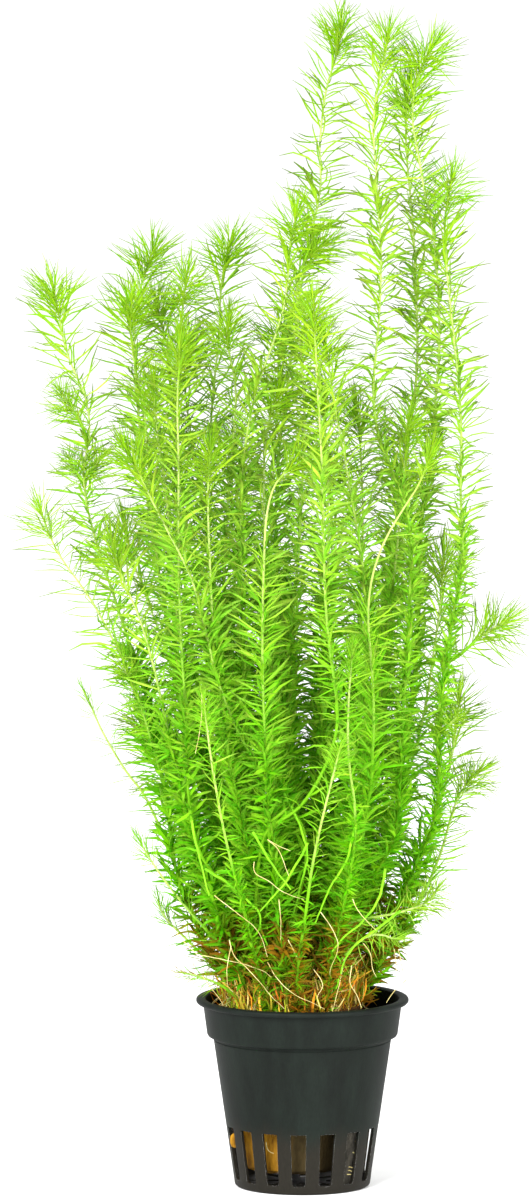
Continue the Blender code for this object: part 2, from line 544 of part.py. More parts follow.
def build_shoot(name, route, dense_share, others, finish):
    """One shoot: a four-sided stem, each ring with two corners drawn out as leaves, and a pointed tip."""
    mesh_data = bmesh.new()
    length = route_length(route)
    route = resample(route, SAMPLE_STEP)
    rings = []
    side = Vector((0, -1, 0))
    for number, (distance, leaf, slant) in enumerate(ring_plan(length, dense_share)):
        centre, along = place_at(route, distance)
        side = (side - along * side.dot(along)).normalized()
        over = along.cross(side)
        verts = []
        for corner in range(SIDES):
            angle = RING_TURN * number + math.tau * corner / SIDES
            out = side * math.cos(angle) + over * math.sin(angle)
            place = centre + out * STEM_RADIUS
            if leaf and (corner + number) % 2 == 0:
                swing = SLANT_SWING if corner < 2 else -SLANT_SWING
                place = leaf_tip(place, out, along, leaf, slant + swing, others)
            verts.append(mesh_data.verts.new(place))
        rings.append(verts)
    for number, (low, high) in enumerate(zip(rings, rings[1:])):
        for k in range(SIDES):
            n = (k + 1) % SIDES
            if (k + number) % 2 == 0:
                mesh_data.faces.new((low[k], low[n], high[k]))
                mesh_data.faces.new((low[n], high[n], high[k]))
            else:
                mesh_data.faces.new((low[k], low[n], high[n]))
                mesh_data.faces.new((low[k], high[n], high[k]))
    mesh_data.faces.new(rings[0][::-1])
    apex = mesh_data.verts.new(route[-1])
    for k in range(SIDES):
        mesh_data.faces.new((rings[-1][k], rings[-1][(k + 1) % SIDES], apex))
    return add_object(name, mesh_data, finish)


def stand_on_mat(route):
    """The part of a route above the mat, from a foot just clear of it."""
    lift = GAP + STEM_RADIUS
    return [p for p in route if p.z > mat_height(p.x, p.y) + lift and p.z > LOWEST_FOOT]


def fork_route(parent, height, steps):
    """A side shoot's route: it starts just clear of its parent's stem, at the fork's height."""
    fork = min(parent, key=lambda p: abs(p.z - height * MM))
    route = smooth([fork] + [fork + Vector(step) * MM for step in steps], SAMPLE_STEP / 3)
    bearer = resample(parent, SAMPLE_STEP / 3)
    return [p for p in route if min((p - q).length for q in bearer) > 2 * STEM_RADIUS + GAP]


def others_tree(routes, own):
    """A search tree of every other shoot's stem."""
    points = [p for name, route in routes.items() if name != own for p in route]
    tree = KDTree(len(points))
    for i, p in enumerate(points):
        tree.insert(p, i)
    tree.balance()
    return tree


def build_shoots(finish):
    """Every shoot, on a route that keeps clear of the rest, and the side shoots at their forks."""
    routes = spread({name: smooth(read_route(depth, points), SAMPLE_STEP)
                     for name, (depth, share, points) in SHOOTS.items()})
    shares = {name: share for name, (depth, share, points) in SHOOTS.items()}
    for name, (parent, height, steps) in SIDE_SHOOTS.items():
        routes[name] = fork_route(routes[parent], height, steps)
        shares[name] = 0.0
    for name, route in routes.items():
        own = stand_on_mat(route) if name in SHOOTS else route
        build_shoot(name, own, shares[name], others_tree(routes, name), finish)


def main():
    """Build the pot, what fills it, and the plant."""
    clear_scene()
    build_pot(material("pot_plastic", (0.035, 0.038, 0.034), 0.55))
    build_plug(material("rock_wool", (0.52, 0.29, 0.05), 0.95))
    build_mat(material("old_growth", (0.30, 0.17, 0.03), 0.9))
    build_shoots(material("leaf_green", (0.15, 0.48, 0.01), 0.5))


main()
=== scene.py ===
"""Potted stream bogmoss, dressed.

The plant grows in a net pot of black polypropylene: a plug of rock wool, a tangle of dead leaves and pale
roots on it, and above them the shoots, each a thin stem with thread-like leaves round it and a bright tuft
at its tip. Metres, +Z up, the pot's underside on Z = 0 and its axis on X = Y = 0, -Y towards the viewer.
"""

from __future__ import annotations

import json
import logging
import math
import random
from dataclasses import dataclass, field
from enum import Enum
from functools import partial

import bmesh
import bpy
from bpy.types import Material, Mesh, Node, NodeSocket, NodeTree, Object
from mathutils import Matrix, Vector, noise
from mathutils.kdtree import KDTree

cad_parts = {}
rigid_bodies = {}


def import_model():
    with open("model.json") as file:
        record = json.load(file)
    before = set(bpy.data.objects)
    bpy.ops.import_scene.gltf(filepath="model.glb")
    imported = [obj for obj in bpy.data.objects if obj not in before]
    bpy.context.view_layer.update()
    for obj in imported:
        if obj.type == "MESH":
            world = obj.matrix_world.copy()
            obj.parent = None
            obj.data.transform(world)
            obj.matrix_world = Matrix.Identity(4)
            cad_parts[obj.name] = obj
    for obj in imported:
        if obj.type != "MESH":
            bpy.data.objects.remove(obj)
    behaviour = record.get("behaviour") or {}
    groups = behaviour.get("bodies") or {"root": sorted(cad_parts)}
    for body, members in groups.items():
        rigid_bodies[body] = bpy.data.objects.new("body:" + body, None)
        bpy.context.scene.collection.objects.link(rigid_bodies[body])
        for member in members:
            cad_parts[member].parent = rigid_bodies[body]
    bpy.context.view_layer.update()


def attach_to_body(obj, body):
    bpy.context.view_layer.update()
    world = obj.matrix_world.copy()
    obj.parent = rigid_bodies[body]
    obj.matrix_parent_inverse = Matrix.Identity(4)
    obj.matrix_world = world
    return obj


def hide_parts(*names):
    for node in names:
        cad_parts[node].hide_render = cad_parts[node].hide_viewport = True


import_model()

log = logging.getLogger("bogmoss")
MM = 0.001
UV_MAP = "OFBake"
BODY = "root"

# How Blender's names of node types start
FAMILIES = ("ShaderNode", "FunctionNode", "GeometryNode", "")

# Pot and what fills it, as in the solids; the wall's two radii are in mm, where it would reach Z = 0
WALL_OUTSIDE = 17.4
WALL_INSIDE = 16.5
WALL_SLOPE = (23.05 - WALL_OUTSIDE) / 38.8
PLUG_CENTRE_X = -2.6 * MM
PLUG_TOP_HEIGHT = 44.0 * MM
MAT_RADIUS = 19.0 * MM
MAT_CREST = 12.5 * MM
MAT_SIDE = 2.5 * MM
GAP = 0.35 * MM

# Shoots' axes, as in the solids
STEM_SPACING = 2.9 * MM
SAMPLE_STEP = 3.0 * MM
CURVE_STEPS = 8
SPREAD_ROUNDS = 60
PUSH_SHARE = 0.5

# The eye that the routes are drawn from, as in the solids
EYE = Vector((-9.8, -1300, 220)) * MM

# Where the camera looks, from how far and from how high above level
AIM = Vector((-9.8, 0, 152.7)) * MM
CAMERA_DISTANCE = 5.0
CAMERA_RISE = math.radians(7.7)

# Each shoot: its depth Y in mm at foot, middle and tip, the share of its length, from the foot, that is
# densely leaved, and its route from foot to tip, X and Z in mm as seen from the eye on the plane Y = 0
SHOOTS = {
    "shoot_01": ((6, 12, 8), 0.45, [
        (2, 46), (0, 70), (-2, 95), (-4, 120), (-6, 145), (-7, 170), (-6, 190), (-4, 207), (-2, 222),
        (0, 236), (2.5, 248), (4.5, 258), (4.3, 268), (5, 277), (6.3, 285), (8.5, 292), (9.7, 299),
        (9.9, 306)]),
    "shoot_02": ((-4, -10, -4), 0.6, [
        (7, 46), (10, 62), (14, 75), (19, 82), (23, 89), (25, 98), (25.5, 108), (26, 120), (26.5, 133),
        (27.5, 148), (28.5, 160), (28, 170), (26.5, 179), (23.5, 187), (20.5, 194), (18.7, 202), (18.5, 212),
        (19.6, 224), (20.2, 236), (20.2, 247), (19.4, 257), (19, 266), (18.2, 275), (18.8, 283), (20.5, 292),
        (22, 299), (22.3, 306)]),
    "shoot_03": ((0, 4, -2), 0.62, [
        (10, 46), (13, 60), (17, 75), (21, 90), (24, 105), (27, 120), (29, 135), (30, 150), (30, 162),
        (30.5, 172), (32, 182), (33.3, 192), (34, 203), (35, 215), (35, 228), (34.3, 240), (33, 251),
        (31, 260), (29.6, 269), (28.2, 277), (28.8, 285), (31, 292), (34, 297), (37.5, 301)]),
    "shoot_04": ((10, 18, 8), 0.5, [
        (6, 46), (9, 62), (12, 80), (15, 100), (18, 120), (20, 140), (22, 158), (24, 172), (26, 184),
        (27.3, 195), (28.7, 206), (29.2, 216), (28.9, 228), (28.5, 240), (27.8, 252), (26.8, 262),
        (26.3, 272), (26.6, 281), (27.3, 290)]),
    "shoot_05": ((4, -4, 2), 0.6, [
        (12, 46), (15, 54), (20, 64), (25, 74), (29, 83), (33, 92), (35, 101), (35.4, 112), (35.8, 124),
        (37, 137), (39, 149), (41, 160), (41.4, 170), (40.8, 181), (41, 193), (40.6, 205), (39.4, 217),
        (38, 230), (36.8, 242), (36.6, 252), (38, 260), (39.2, 268)]),
    "shoot_06": ((-10, -16, -4), 0.68, [
        (-4, 46), (-8, 62), (-11, 80), (-13, 100), (-14.5, 120), (-15.5, 140), (-15.8, 162), (-15.8, 180),
        (-14.8, 194), (-12.8, 205), (-10.5, 213), (-7.5, 221), (-5, 229), (-3.7, 238), (-3.2, 246),
        (-1.8, 252), (-0.3, 260)]),
    "shoot_07": ((2, 0, -6), 0.55, [
        (-1, 46), (-2, 65), (-2, 85), (-3, 105), (-4, 125), (-3, 145), (-1, 165), (0, 185), (0.5, 203),
        (-0.5, 218), (-1.5, 230), (-1, 238), (2, 243), (7, 246), (12.5, 248)]),
    "shoot_08": ((8, 22, 10), 0.5, [
        (-7, 46), (-10, 65), (-14, 85), (-18, 105), (-21, 125), (-23, 145), (-24, 165), (-24, 185),
        (-23, 203), (-21.5, 218), (-21, 230), (-20, 238), (-18.7, 244), (-18, 250)]),
    "shoot_09": ((-2, -6, -4), 0.6, [
        (-6, 46), (-9, 65), (-12, 85), (-15, 105), (-18, 125), (-20, 145), (-20, 165), (-19, 182),
        (-17.7, 197), (-17.2, 208), (-18.6, 216), (-19.5, 222), (-18.3, 232)]),
    "shoot_10": ((6, 18, 12), 0.5, [
        (-9, 46), (-13, 62), (-18, 80), (-23, 100), (-28, 120), (-33, 140), (-37, 160), (-40, 180),
        (-42, 200), (-43, 215), (-42.5, 227), (-40.5, 235), (-38.5, 241), (-37, 248)]),
    "shoot_11": ((0, 2, -4), 0.5, [
        (-10, 46), (-15, 62), (-20, 80), (-25, 100), (-30, 120), (-34, 140), (-37, 160), (-39, 178),
        (-40, 193), (-41, 204), (-43, 213), (-44.3, 222), (-44, 230), (-43.5, 237)]),
    "shoot_12": ((12, 28, 10), 0.5, [
        (-8, 46), (-12, 65), (-17, 85), (-22, 105), (-26, 125), (-29, 145), (-31, 165), (-32.5, 185),
        (-33.5, 203), (-34.5, 216), (-37, 226), (-37.5, 235)]),
    "shoot_13": ((3, 10, 2), 0.5, [
        (-5, 46), (-9, 65), (-13, 85), (-17, 105), (-21, 125), (-25, 145), (-29, 165), (-31.5, 183),
        (-32.8, 199), (-32.5, 212), (-31.3, 223), (-30.2, 233), (-29, 243)]),
    "shoot_14": ((-2, -4, -10), 0.5, [
        (-12, 46), (-18, 60), (-24, 76), (-29, 92), (-34, 108), (-39, 124), (-43.5, 138), (-48, 152),
        (-52, 164), (-55.5, 177), (-56.5, 187), (-55, 197), (-56, 206), (-59, 213), (-61.5, 220),
        (-63, 228), (-64.5, 235), (-65.5, 241)]),
    "shoot_15": ((-6, -27, -20), 0.45, [
        (-4, 46), (-4.5, 55), (-3.5, 64), (-1.8, 72), (0, 80), (1.2, 88), (0, 95), (-4, 101), (-9.5, 109.5),
        (-14.5, 116), (-19, 125), (-21.8, 133), (-24.6, 145), (-26.6, 152), (-28.7, 160), (-32.6, 168.5),
        (-36.4, 175.6), (-40.5, 183.6), (-43.4, 190), (-46, 194.5), (-48, 200)]),
    "shoot_16": ((-10, -25, -16), 0.5, [
        (2, 46), (-2, 51), (-6, 54.5), (-9.5, 60), (-11, 67), (-13, 73.5), (-18, 78.5), (-23, 82),
        (-26.5, 87), (-28.7, 95), (-30, 104), (-30.3, 115), (-30.3, 126), (-31.3, 138), (-32, 155),
        (-32.3, 172), (-32.2, 190), (-32.5, 205), (-32, 216), (-31.2, 228)]),
    "shoot_17": ((14, 34, 20), 0.5, [
        (-6, 46), (-9, 70), (-13, 95), (-17, 120), (-21, 145), (-25, 170), (-28, 190), (-30, 205),
        (-28.8, 214), (-26, 222)]),
    "shoot_18": ((-6, -13, -10), 0.55, [
        (-10, 46), (-14, 60), (-18, 78), (-22, 96), (-26, 114), (-30, 132), (-32.5, 150), (-34, 165),
        (-35, 178), (-36.5, 190), (-38, 200), (-38.3, 209), (-38, 217)]),
    "shoot_19": ((-6, -12, -16), 0.55, [
        (-14, 46), (-19, 54), (-25, 63), (-30, 74), (-33, 84), (-34.3, 93), (-35.3, 101), (-37, 109),
        (-39.5, 118), (-42.5, 128), (-46, 137), (-50, 145), (-54, 152.5), (-58, 158.5), (-62, 164),
        (-65, 169.5), (-67.3, 175.5), (-69.3, 184)]),
    "shoot_20": ((2, 8, 14), 0.2, [
        (-13, 46), (-18, 53), (-24, 62), (-30, 75), (-34, 87), (-38, 96), (-41, 102), (-45, 107),
        (-49, 113.5), (-52, 119), (-54.5, 125), (-57, 130), (-59, 134)]),
    "shoot_21": ((-12, -22, -20), 0.6, [
        (-12, 46), (-17, 58), (-22, 72), (-27, 88), (-31, 104), (-35, 120), (-38.5, 136), (-42.5, 150),
        (-46, 158), (-48.5, 165), (-49.8, 170), (-50, 176)]),
    "shoot_22": ((-16, -26, -20), 0.7, [
        (-5, 46), (-8, 60), (-12, 78), (-16, 97), (-19.5, 116), (-22, 135), (-23.5, 152), (-24.2, 168),
        (-24.6, 180), (-24.2, 190), (-22.7, 201)]),
    "shoot_23": ((-18, -30, -24), 0.5, [
        (-3, 46), (-5, 62), (-7, 80), (-8.5, 98), (-9.5, 116), (-10.3, 135), (-10.3, 152), (-9.9, 166),
        (-9.3, 177), (-7.5, 184.5), (-4, 189), (0.5, 191.5), (4, 193.5), (7.5, 197)]),
    "shoot_24": ((-7, -12, -8), 0.75, [
        (0, 46), (-2, 62), (-4, 80), (-6, 100), (-8, 120), (-9, 140), (-9.8, 160), (-10, 178), (-9.8, 192),
        (-8.5, 201), (-6.3, 207), (-5.2, 214.5)]),
    "shoot_25": ((-14, -36, -22), 0.3, [
        (-9, 46), (-11, 58), (-12, 72), (-11.5, 84), (-9.5, 93.5), (-5.5, 97), (-1.5, 99.5), (2.5, 104.5),
        (6, 111), (8.6, 118), (9.6, 124), (9, 131), (7.6, 141), (6.4, 153), (5.9, 166), (5.6, 178),
        (5.3, 190), (4.7, 202), (4, 213), (3.4, 224), (3, 231), (2.7, 239)]),
    "shoot_26": ((-8, -18, -12), 0.65, [
        (4, 46), (6, 62), (9, 80), (12, 98), (14.5, 116), (16.5, 134), (17, 150), (16, 162), (14.4, 172),
        (12.6, 182), (10.8, 193), (8.8, 203), (7.2, 213), (6, 221), (5.7, 229)]),
    "shoot_27": ((4, 8, -4), 0.7, [
        (1, 46), (2, 65), (3, 85), (4, 105), (5, 125), (6, 145), (6.5, 165), (6.5, 183), (5.8, 198),
        (5.6, 205), (5.8, 213)]),
    "shoot_28": ((-2, -2, -8), 0.8, [
        (8, 46), (11, 62), (14, 80), (17, 100), (19.5, 120), (21.5, 140), (23.5, 158), (25, 172),
        (26, 184), (26.5, 194), (27.3, 200), (29.5, 207)]),
    "shoot_29": ((-12, -26, -18), 0.3, [
        (5, 46), (8, 62), (12, 78), (15.5, 92), (17.8, 104), (18.5, 114), (18.8, 126), (18.2, 138),
        (17.3, 150), (18, 159), (20, 166.5), (23, 173), (27, 179.5), (30.5, 185), (32.8, 191), (34, 198)]),
    "shoot_30": ((-2, 6, 10), 0.5, [
        (13, 46), (17, 53), (23, 62), (29, 72), (33, 80), (36, 88), (38, 95.5), (40, 101), (43, 105.5),
        (46.5, 108.5), (51, 111)]),
    "shoot_31": ((-12, -16, -12), 0.6, [
        (1, 46), (2, 56), (6, 64.5), (12, 69), (18, 70.5), (24, 71.5), (29, 73), (33.5, 75), (35.3, 79),
        (36.3, 84)]),
    "shoot_32": ((-14, -19, -16), 0.0, [
        (8, 46), (9.5, 58), (13.5, 63), (18, 66.3), (21.5, 66), (24.5, 64.7), (28, 66), (31.5, 67.8)]),
    "shoot_33": ((-8, -12, -10), 0.5, [
        (-10, 46), (-16, 56), (-24, 66), (-31, 74), (-36, 80.5), (-40, 86.5), (-43, 92), (-45, 97)]),
    "shoot_34": ((8, 14, 16), 0.5, [
        (-14, 46), (-20, 54), (-26, 60), (-31, 65), (-35.5, 69.5), (-37, 74), (-36.3, 80)]),
    "shoot_35": ((-10, -12, -12), 0.5, [
        (-14, 46), (-20, 52), (-25, 54.2), (-29, 55.5), (-34, 56.4), (-38, 57)]),
    "shoot_36": ((14, 34, 26), 0.6, [
        (-2, 46), (-3, 70), (-5, 95), (-7, 120), (-8, 145), (-8, 170), (-7, 192), (-5, 212), (-4, 225)]),
    "shoot_37": ((14, 36, 28), 0.6, [
        (4, 46), (6, 70), (9, 95), (12, 120), (14, 145), (15, 168), (14.5, 188), (13, 205)]),
    "shoot_38": ((12, 30, 26), 0.6, [
        (8, 46), (12, 70), (16, 95), (20, 120), (23, 145), (25, 168), (26, 188)]),
    "shoot_39": ((12, 30, 34), 0.5, [
        (-10, 46), (-15, 70), (-20, 92), (-26, 112), (-32, 130), (-38, 146), (-43, 160), (-46, 174)]),
    "shoot_40": ((16, 42, 38), 0.6, [
        (-4, 46), (-8, 72), (-12, 98), (-15, 124), (-17, 150), (-18, 175), (-17, 196)]),
    "shoot_41": ((10, 26, 30), 0.5, [
        (10, 46), (15, 64), (20, 82), (25, 100), (30, 118), (33, 136), (35, 152), (36, 168)]),
    "shoot_42": ((17, 44, 46), 0.6, [
        (0, 46), (2, 70), (4, 96), (6, 122), (7, 146), (7, 170), (6, 190)]),
    "shoot_43": ((14, 34, 42), 0.5, [
        (-12, 46), (-18, 62), (-25, 78), (-32, 94), (-38, 110), (-43, 126)]),
    "shoot_44": ((16, 40, 50), 0.5, [
        (6, 46), (10, 60), (14, 76), (18, 92), (22, 108), (25, 122)]),
    "shoot_45": ((18, 44, 56), 0.5, [
        (-6, 46), (-9, 62), (-12, 80), (-14, 98), (-16, 114), (-17, 130)]),
    "shoot_46": ((6, 18, 26), 0.5, [
        (14, 46), (19, 60), (25, 74), (31, 88), (36, 102), (39, 118), (40, 132)]),
    "shoot_47": ((-18, -34, -38), 0.7, [
        (-2, 46), (-1, 58), (1, 72), (3, 86), (6, 100), (9, 112), (12, 124)]),
    "shoot_48": ((-16, -32, -34), 0.7, [
        (6, 46), (8, 60), (11, 74), (13.5, 88), (14, 100), (12.5, 112), (12, 124), (13, 138), (14, 150)]),
    "shoot_49": ((-16, -32, -36), 0.7, [
        (-8, 46), (-12, 60), (-16, 76), (-20, 92), (-23, 108), (-25, 122), (-26.5, 136)]),
}

# Each side shoot: the shoot that bears it, the height in mm of its fork, and its route from there, in mm
SIDE_SHOOTS = {
    "side_shoot_01": ("shoot_14", 194, [(-2, -1, 5), (-5, -2.5, 10), (-7.5, -3.5, 14), (-9.5, -4, 19)]),
    "side_shoot_02": ("shoot_14", 184, [(-2, 3, 3.5), (-4, 5, 7), (-5, 6.5, 12)]),
    "side_shoot_03": ("shoot_14", 187, [(2.5, -2, 1.5), (4, -4, 5), (5, -5, 10)]),
    "side_shoot_04": ("shoot_19", 134, [(-1, -3, 1.5), (-2.5, -5, 4), (-4.5, -6, 7)]),
    "side_shoot_05": ("shoot_05", 137, [
        (3, 1, 1.5), (6, 2, 4), (9.5, 3, 7), (13, 3.5, 9), (16.5, 4, 11), (21, 4.5, 13.5)]),
    "side_shoot_06": ("shoot_05", 119, [(2, -2, 2), (4, -3, 4), (7, -4, 8)]),
}

# Leaf length in mm on the dense lower part of a shoot, where it isn't the common one
DENSE_LENGTHS = {
    "shoot_02": 6.0, "shoot_03": 6.0, "shoot_05": 6.0, "shoot_28": 5.8,
    "shoot_10": 4.4, "shoot_11": 4.4, "shoot_12": 4.4, "shoot_13": 4.4,
}

# Where a stem has shed most leaves: the lower and upper height in mm
BARE_STRETCHES = {
    "shoot_25": (56, 128), "shoot_23": (166, 190), "shoot_29": (150, 190), "shoot_15": (66, 104),
    "shoot_16": (70, 112), "shoot_06": (96, 132),
}

# How long a shoot's leaves are next to the others', where that isn't 1
LEAF_SCALES = {
    "shoot_30": 0.85, "shoot_31": 0.75, "shoot_32": 0.6, "shoot_33": 0.7, "shoot_34": 0.7, "shoot_35": 0.6,
    "side_shoot_01": 0.8, "side_shoot_02": 0.75, "side_shoot_03": 0.75, "side_shoot_04": 0.7,
    "side_shoot_06": 0.7, "shoot_47": 0.6, "shoot_48": 0.6, "shoot_49": 0.6,
    "shoot_36": 1.15, "shoot_42": 1.3, "shoot_45": 1.3, "shoot_20": 0.6,
}

# Low shoots whose leaves are all old
OLD_LEAVED_SHOOTS = ("shoot_47", "shoot_48", "shoot_49", "shoot_20", "shoot_33", "shoot_34", "shoot_35")

# The share of its leaves that a low shoot has shed all along it
THINNED_SHOOTS = {
    "shoot_19": 0.3, "shoot_20": 0.6, "shoot_32": 0.4, "shoot_33": 0.55, "shoot_34": 0.5, "shoot_35": 0.5,
}

# Each form of leaf: how far its lower and its upper handle stand out towards its flat side and how far both
# stand sideways, as shares of its length, and its twist in radians
LEAF_FORMS = [
    (0.02, 0.02, 0.0, 0.3), (0.08, 0.05, 0.04, -0.9), (0.14, 0.12, -0.05, 0.7), (0.2, 0.26, 0.06, -0.4),
    (-0.08, 0.06, -0.03, 1.0), (0.12, -0.1, 0.05, -0.7), (-0.05, -0.12, 0.08, 0.5),
]

# Each loose root: its depth Y in mm at foot and tip, and its route, X and Z in mm as seen from the eye
LOOSE_ROOTS = [
    ((-36, -36), [(-26.3, 131), (-26.5, 124), (-28, 115)]),
    ((-34, -37), [(-9, 92), (-6, 89), (-4, 84), (-3.5, 82.5)]),
    ((-34, -36), [(-9, 92), (-6, 90.2), (-3, 89)]),
    ((-34, -31), [(-12.5, 86), (-12.3, 83), (-9, 81), (-4.5, 77.8), (0.5, 76)]),
    ((-33, -26), [(-23, 77), (-18, 73), (-13, 69), (-10.5, 65.5), (-9, 60.5)]),
    ((-20, -24), [(-33, 67), (-28, 61.5), (-25, 60.5), (-20, 59.5), (-15, 58.3), (-10, 56.5), (-8, 55)]),
    ((-27, -22), [(-19, 65), (-17.5, 60.5), (-14, 57), (-11, 53.5), (-8, 50), (-4.7, 46.5)]),
    ((-27, -21), [(-18.5, 63.5), (-19.5, 58), (-19.5, 53), (-18, 51)]),
    ((-33, -28), [(-6, 76), (-5.5, 70), (-5.5, 65)]),
    ((-28, -25), [(-3.5, 65), (-1, 60)]),
    ((-25, -22), [(-9, 59), (-6, 54), (-2, 50.5), (2, 48.5), (6, 46.5)]),
    ((-30, -22), [(5, 72.5), (8.5, 67), (9.5, 63), (7.5, 57), (7.5, 55)]),
    ((-32, -28), [(13.5, 76), (14.5, 73.5), (17, 70), (19.5, 67.5)]),
    ((-24, -20), [(16, 64), (18, 61), (18.5, 57), (19.5, 55)]),
    ((-14, -15), [(24, 62), (24.5, 58), (24.5, 55)]),
    ((-12, -14), [(25, 62), (26, 57), (27, 53), (27, 51.5)]),
    ((-12, -16), [(27, 54), (24, 51), (22, 48)]),
    ((-12, -17), [(-26, 55), (-23, 51), (-20.5, 47.5)]),
    ((-20, -23), [(11, 60), (10.2, 55), (9, 50), (8.2, 46.5)]),
    ((-21, -23), [(13, 58), (12.6, 53.5), (14.5, 50), (15.5, 47)]),
    ((-22, -24), [(3, 57), (5.5, 53), (4, 49.5), (5, 46.8)]),
    ((-13.2, -13.4), [(-9.4, 11.2), (-9.2, 9.8), (-8.4, 8.6), (-7.4, 8.2)]),
    ((-12.2, -12), [(11.6, 4.4), (12.4, 4.6), (13.2, 4.4)]),
    ((-12.2, -12), [(11.6, 3.5), (12.3, 3.8), (13, 3.5)]),
    ((-12.2, -12), [(11.6, 2.7), (12.2, 2.9), (12.8, 2.7)]),
    ((-11.6, -11.8), [(13.6, 12.2), (13.8, 11.4)]),
    ((-11.8, -11.6), [(13.1, 8.6), (13.6, 8.2)]),
    ((-12.2, -12.2), [(12.2, 10.1), (12.4, 9.4)]),
]

# Each bare stem that trails in front of the leaves, laid out as the roots are
BARE_STEMS = [
    ((-33, -31), [(-29, 97), (-27.7, 90.2), (-25.4, 81.4), (-24.5, 77)]),
    ((-32, -19), [(-25.4, 84), (-22.8, 82.4), (-18.9, 79.8), (-15.1, 76.2), (-11.5, 72.6), (-10.9, 68.7),
                  (-9.7, 64.8), (-8.1, 61.1), (-6.5, 56), (-5, 51)]),
    ((-33, -31), [(-12.8, 94), (-10.2, 89.5), (-7.9, 85.3), (-5.0, 81.4), (-2.7, 78.6)]),
    ((-26, -18), [(-19.4, 125.6), (-11, 113.6), (-2.7, 99.9), (0.6, 91.6), (1.4, 86.6), (0.4, 82.4),
                  (-0.9, 77.5), (-1.7, 74.1), (-3.2, 69.4), (-3.7, 65.8), (-4.4, 60.4), (-5, 52)]),
    ((-32, -28), [(14.2, 96), (12.7, 90.2), (11.7, 86.3), (9.7, 82.7), (7.6, 79.3), (5.5, 74.1),
                  (3.2, 69.5)]),
    ((-33, -30), [(1.6, 91), (-0.1, 87.6), (-3.2, 81.9), (-5.4, 78.8), (-10.9, 72.8)]),
    ((-30, -25), [(22, 84), (20.2, 76), (16, 70), (11.5, 66.2), (8, 62)]),
    ((-30, -20), [(26, 73), (20, 68), (15, 64.5), (11.5, 60), (9, 52)]),
]


class Slot(Enum):
    """The record's material slots."""

    POT = "pot_plastic"
    WOOL = "rock_wool"
    OLD = "old_growth"
    FOLIAGE = "foliage"


def linear(code: str) -> tuple[float, float, float, float]:
    """An sRGB hex colour as linear light.

    Args:
        code: Six hex digits after a hash sign.

    Returns:
        Red, green, blue and an alpha of 1.
    """
    shares = [int(code[i:i + 2], 16) / 255 for i in (1, 3, 5)]
    return (*(c / 12.92 if c <= 0.04045 else ((c + 0.055) / 1.055) ** 2.4 for c in shares), 1.0)


def add_node(tree: NodeTree, kind: str, inputs: dict | list | None = None, operation: str | None = None,
             **settings: object) -> Node:
    """Add one node to a tree with its settings, values and links.

    Args:
        tree: The tree to add to.
        kind: The name of its type, without the family that the name starts with.
        inputs: What its sockets get, by name or number, or as a list in their order: a value, a socket,
            a node (its first output), or a list of sources.
        operation: The operation of a node that has several.
        settings: Its other properties; a ramp's or curve's stops go in as "stops".

    Returns:
        The node.
    """
    node = tree.nodes.new(next(f + kind for f in FAMILIES if hasattr(bpy.types, f + kind)))
    stops = settings.pop("stops", None)
    if operation:
        node.operation = operation
    for name, value in settings.items():
        setattr(node, name, value)
    if stops and hasattr(node, "color_ramp"):
        elements = node.color_ramp.elements
        while len(elements) < len(stops):
            elements.new(1.0)
        for element, (at, code) in zip(elements, stops):
            element.position = at
            element.color = linear(code)
    elif stops:
        points = node.mapping.curves[0].points
        points[0].location, points[1].location = stops[0], stops[-1]
        for stop in stops[1:-1]:
            points.new(*stop)
        node.mapping.update()
    if isinstance(inputs, list):
        inputs = dict(enumerate(inputs))
    for name, value in (inputs or {}).items():
        if isinstance(name, int):
            socket = node.inputs[name]
        else:
            socket = next(s for s in node.inputs if s.name == name and s.enabled)
        for source in value if isinstance(value, list) else [value]:
            if isinstance(source, Node):
                source = next(s for s in source.outputs if s.enabled)
            if isinstance(source, NodeSocket):
                tree.links.new(source, socket)
            else:
                socket.default_value = source
    return node


def new_tree(name: str, inputs: dict[str, int | float | None]) -> tuple[NodeTree, dict[str, NodeSocket]]:
    """Start a Geometry Nodes tree with named inputs and one geometry output.

    Args:
        name: The tree's name.
        inputs: Each input's name to its default: a whole number, a number, or None for a material.

    Returns:
        The tree and its inputs' sockets by name.
    """
    tree = bpy.data.node_groups.new(name, "GeometryNodeTree")
    kinds = {int: "NodeSocketInt", float: "NodeSocketFloat", type(None): "NodeSocketMaterial"}
    for way in ("INPUT", "OUTPUT"):
        tree.interface.new_socket("Geometry", in_out=way, socket_type="NodeSocketGeometry")
    for label, value in inputs.items():
        made = tree.interface.new_socket(label, in_out="INPUT", socket_type=kinds[type(value)])
        if value is not None:
            made.default_value = value
    return tree, {s.name: s for s in add_node(tree, "NodeGroupInput").outputs}


def new_material(name: str) -> tuple[Material, NodeTree]:
    """Start a material with an empty tree.

    Args:
        name: The material's name.

    Returns:
        The material and its tree.
    """
    made = bpy.data.materials.new(name)
    made.use_nodes = True
    made.node_tree.nodes.clear()
    return made, made.node_tree


def grow(name: str, mesh: Mesh, tree: NodeTree, values: dict[str, object]) -> Object:
    """Run a Geometry Nodes tree on a mesh and keep what it makes as a plain mesh.

    Args:
        name: The piece's name.
        mesh: What the tree starts from.
        tree: The tree.
        values: The tree's inputs by name.

    Returns:
        The piece's object, at the origin.
    """
    carrier = place(name + "_carrier", mesh)
    modifier = carrier.modifiers.new("grow", "NODES")
    modifier.node_group = tree
    for item in tree.interface.items_tree:
        if item.in_out == "INPUT" and item.name in values:
            modifier[item.identifier] = values[item.name]
    depsgraph = bpy.context.evaluated_depsgraph_get()
    made = bpy.data.meshes.new_from_object(carrier.evaluated_get(depsgraph))
    bpy.data.objects.remove(carrier, do_unlink=True)
    for helper in ("along", "across", "row", "bin", "back"):
        if helper in made.attributes:
            made.attributes.remove(made.attributes[helper])
    made.name = name
    return place(name, made)


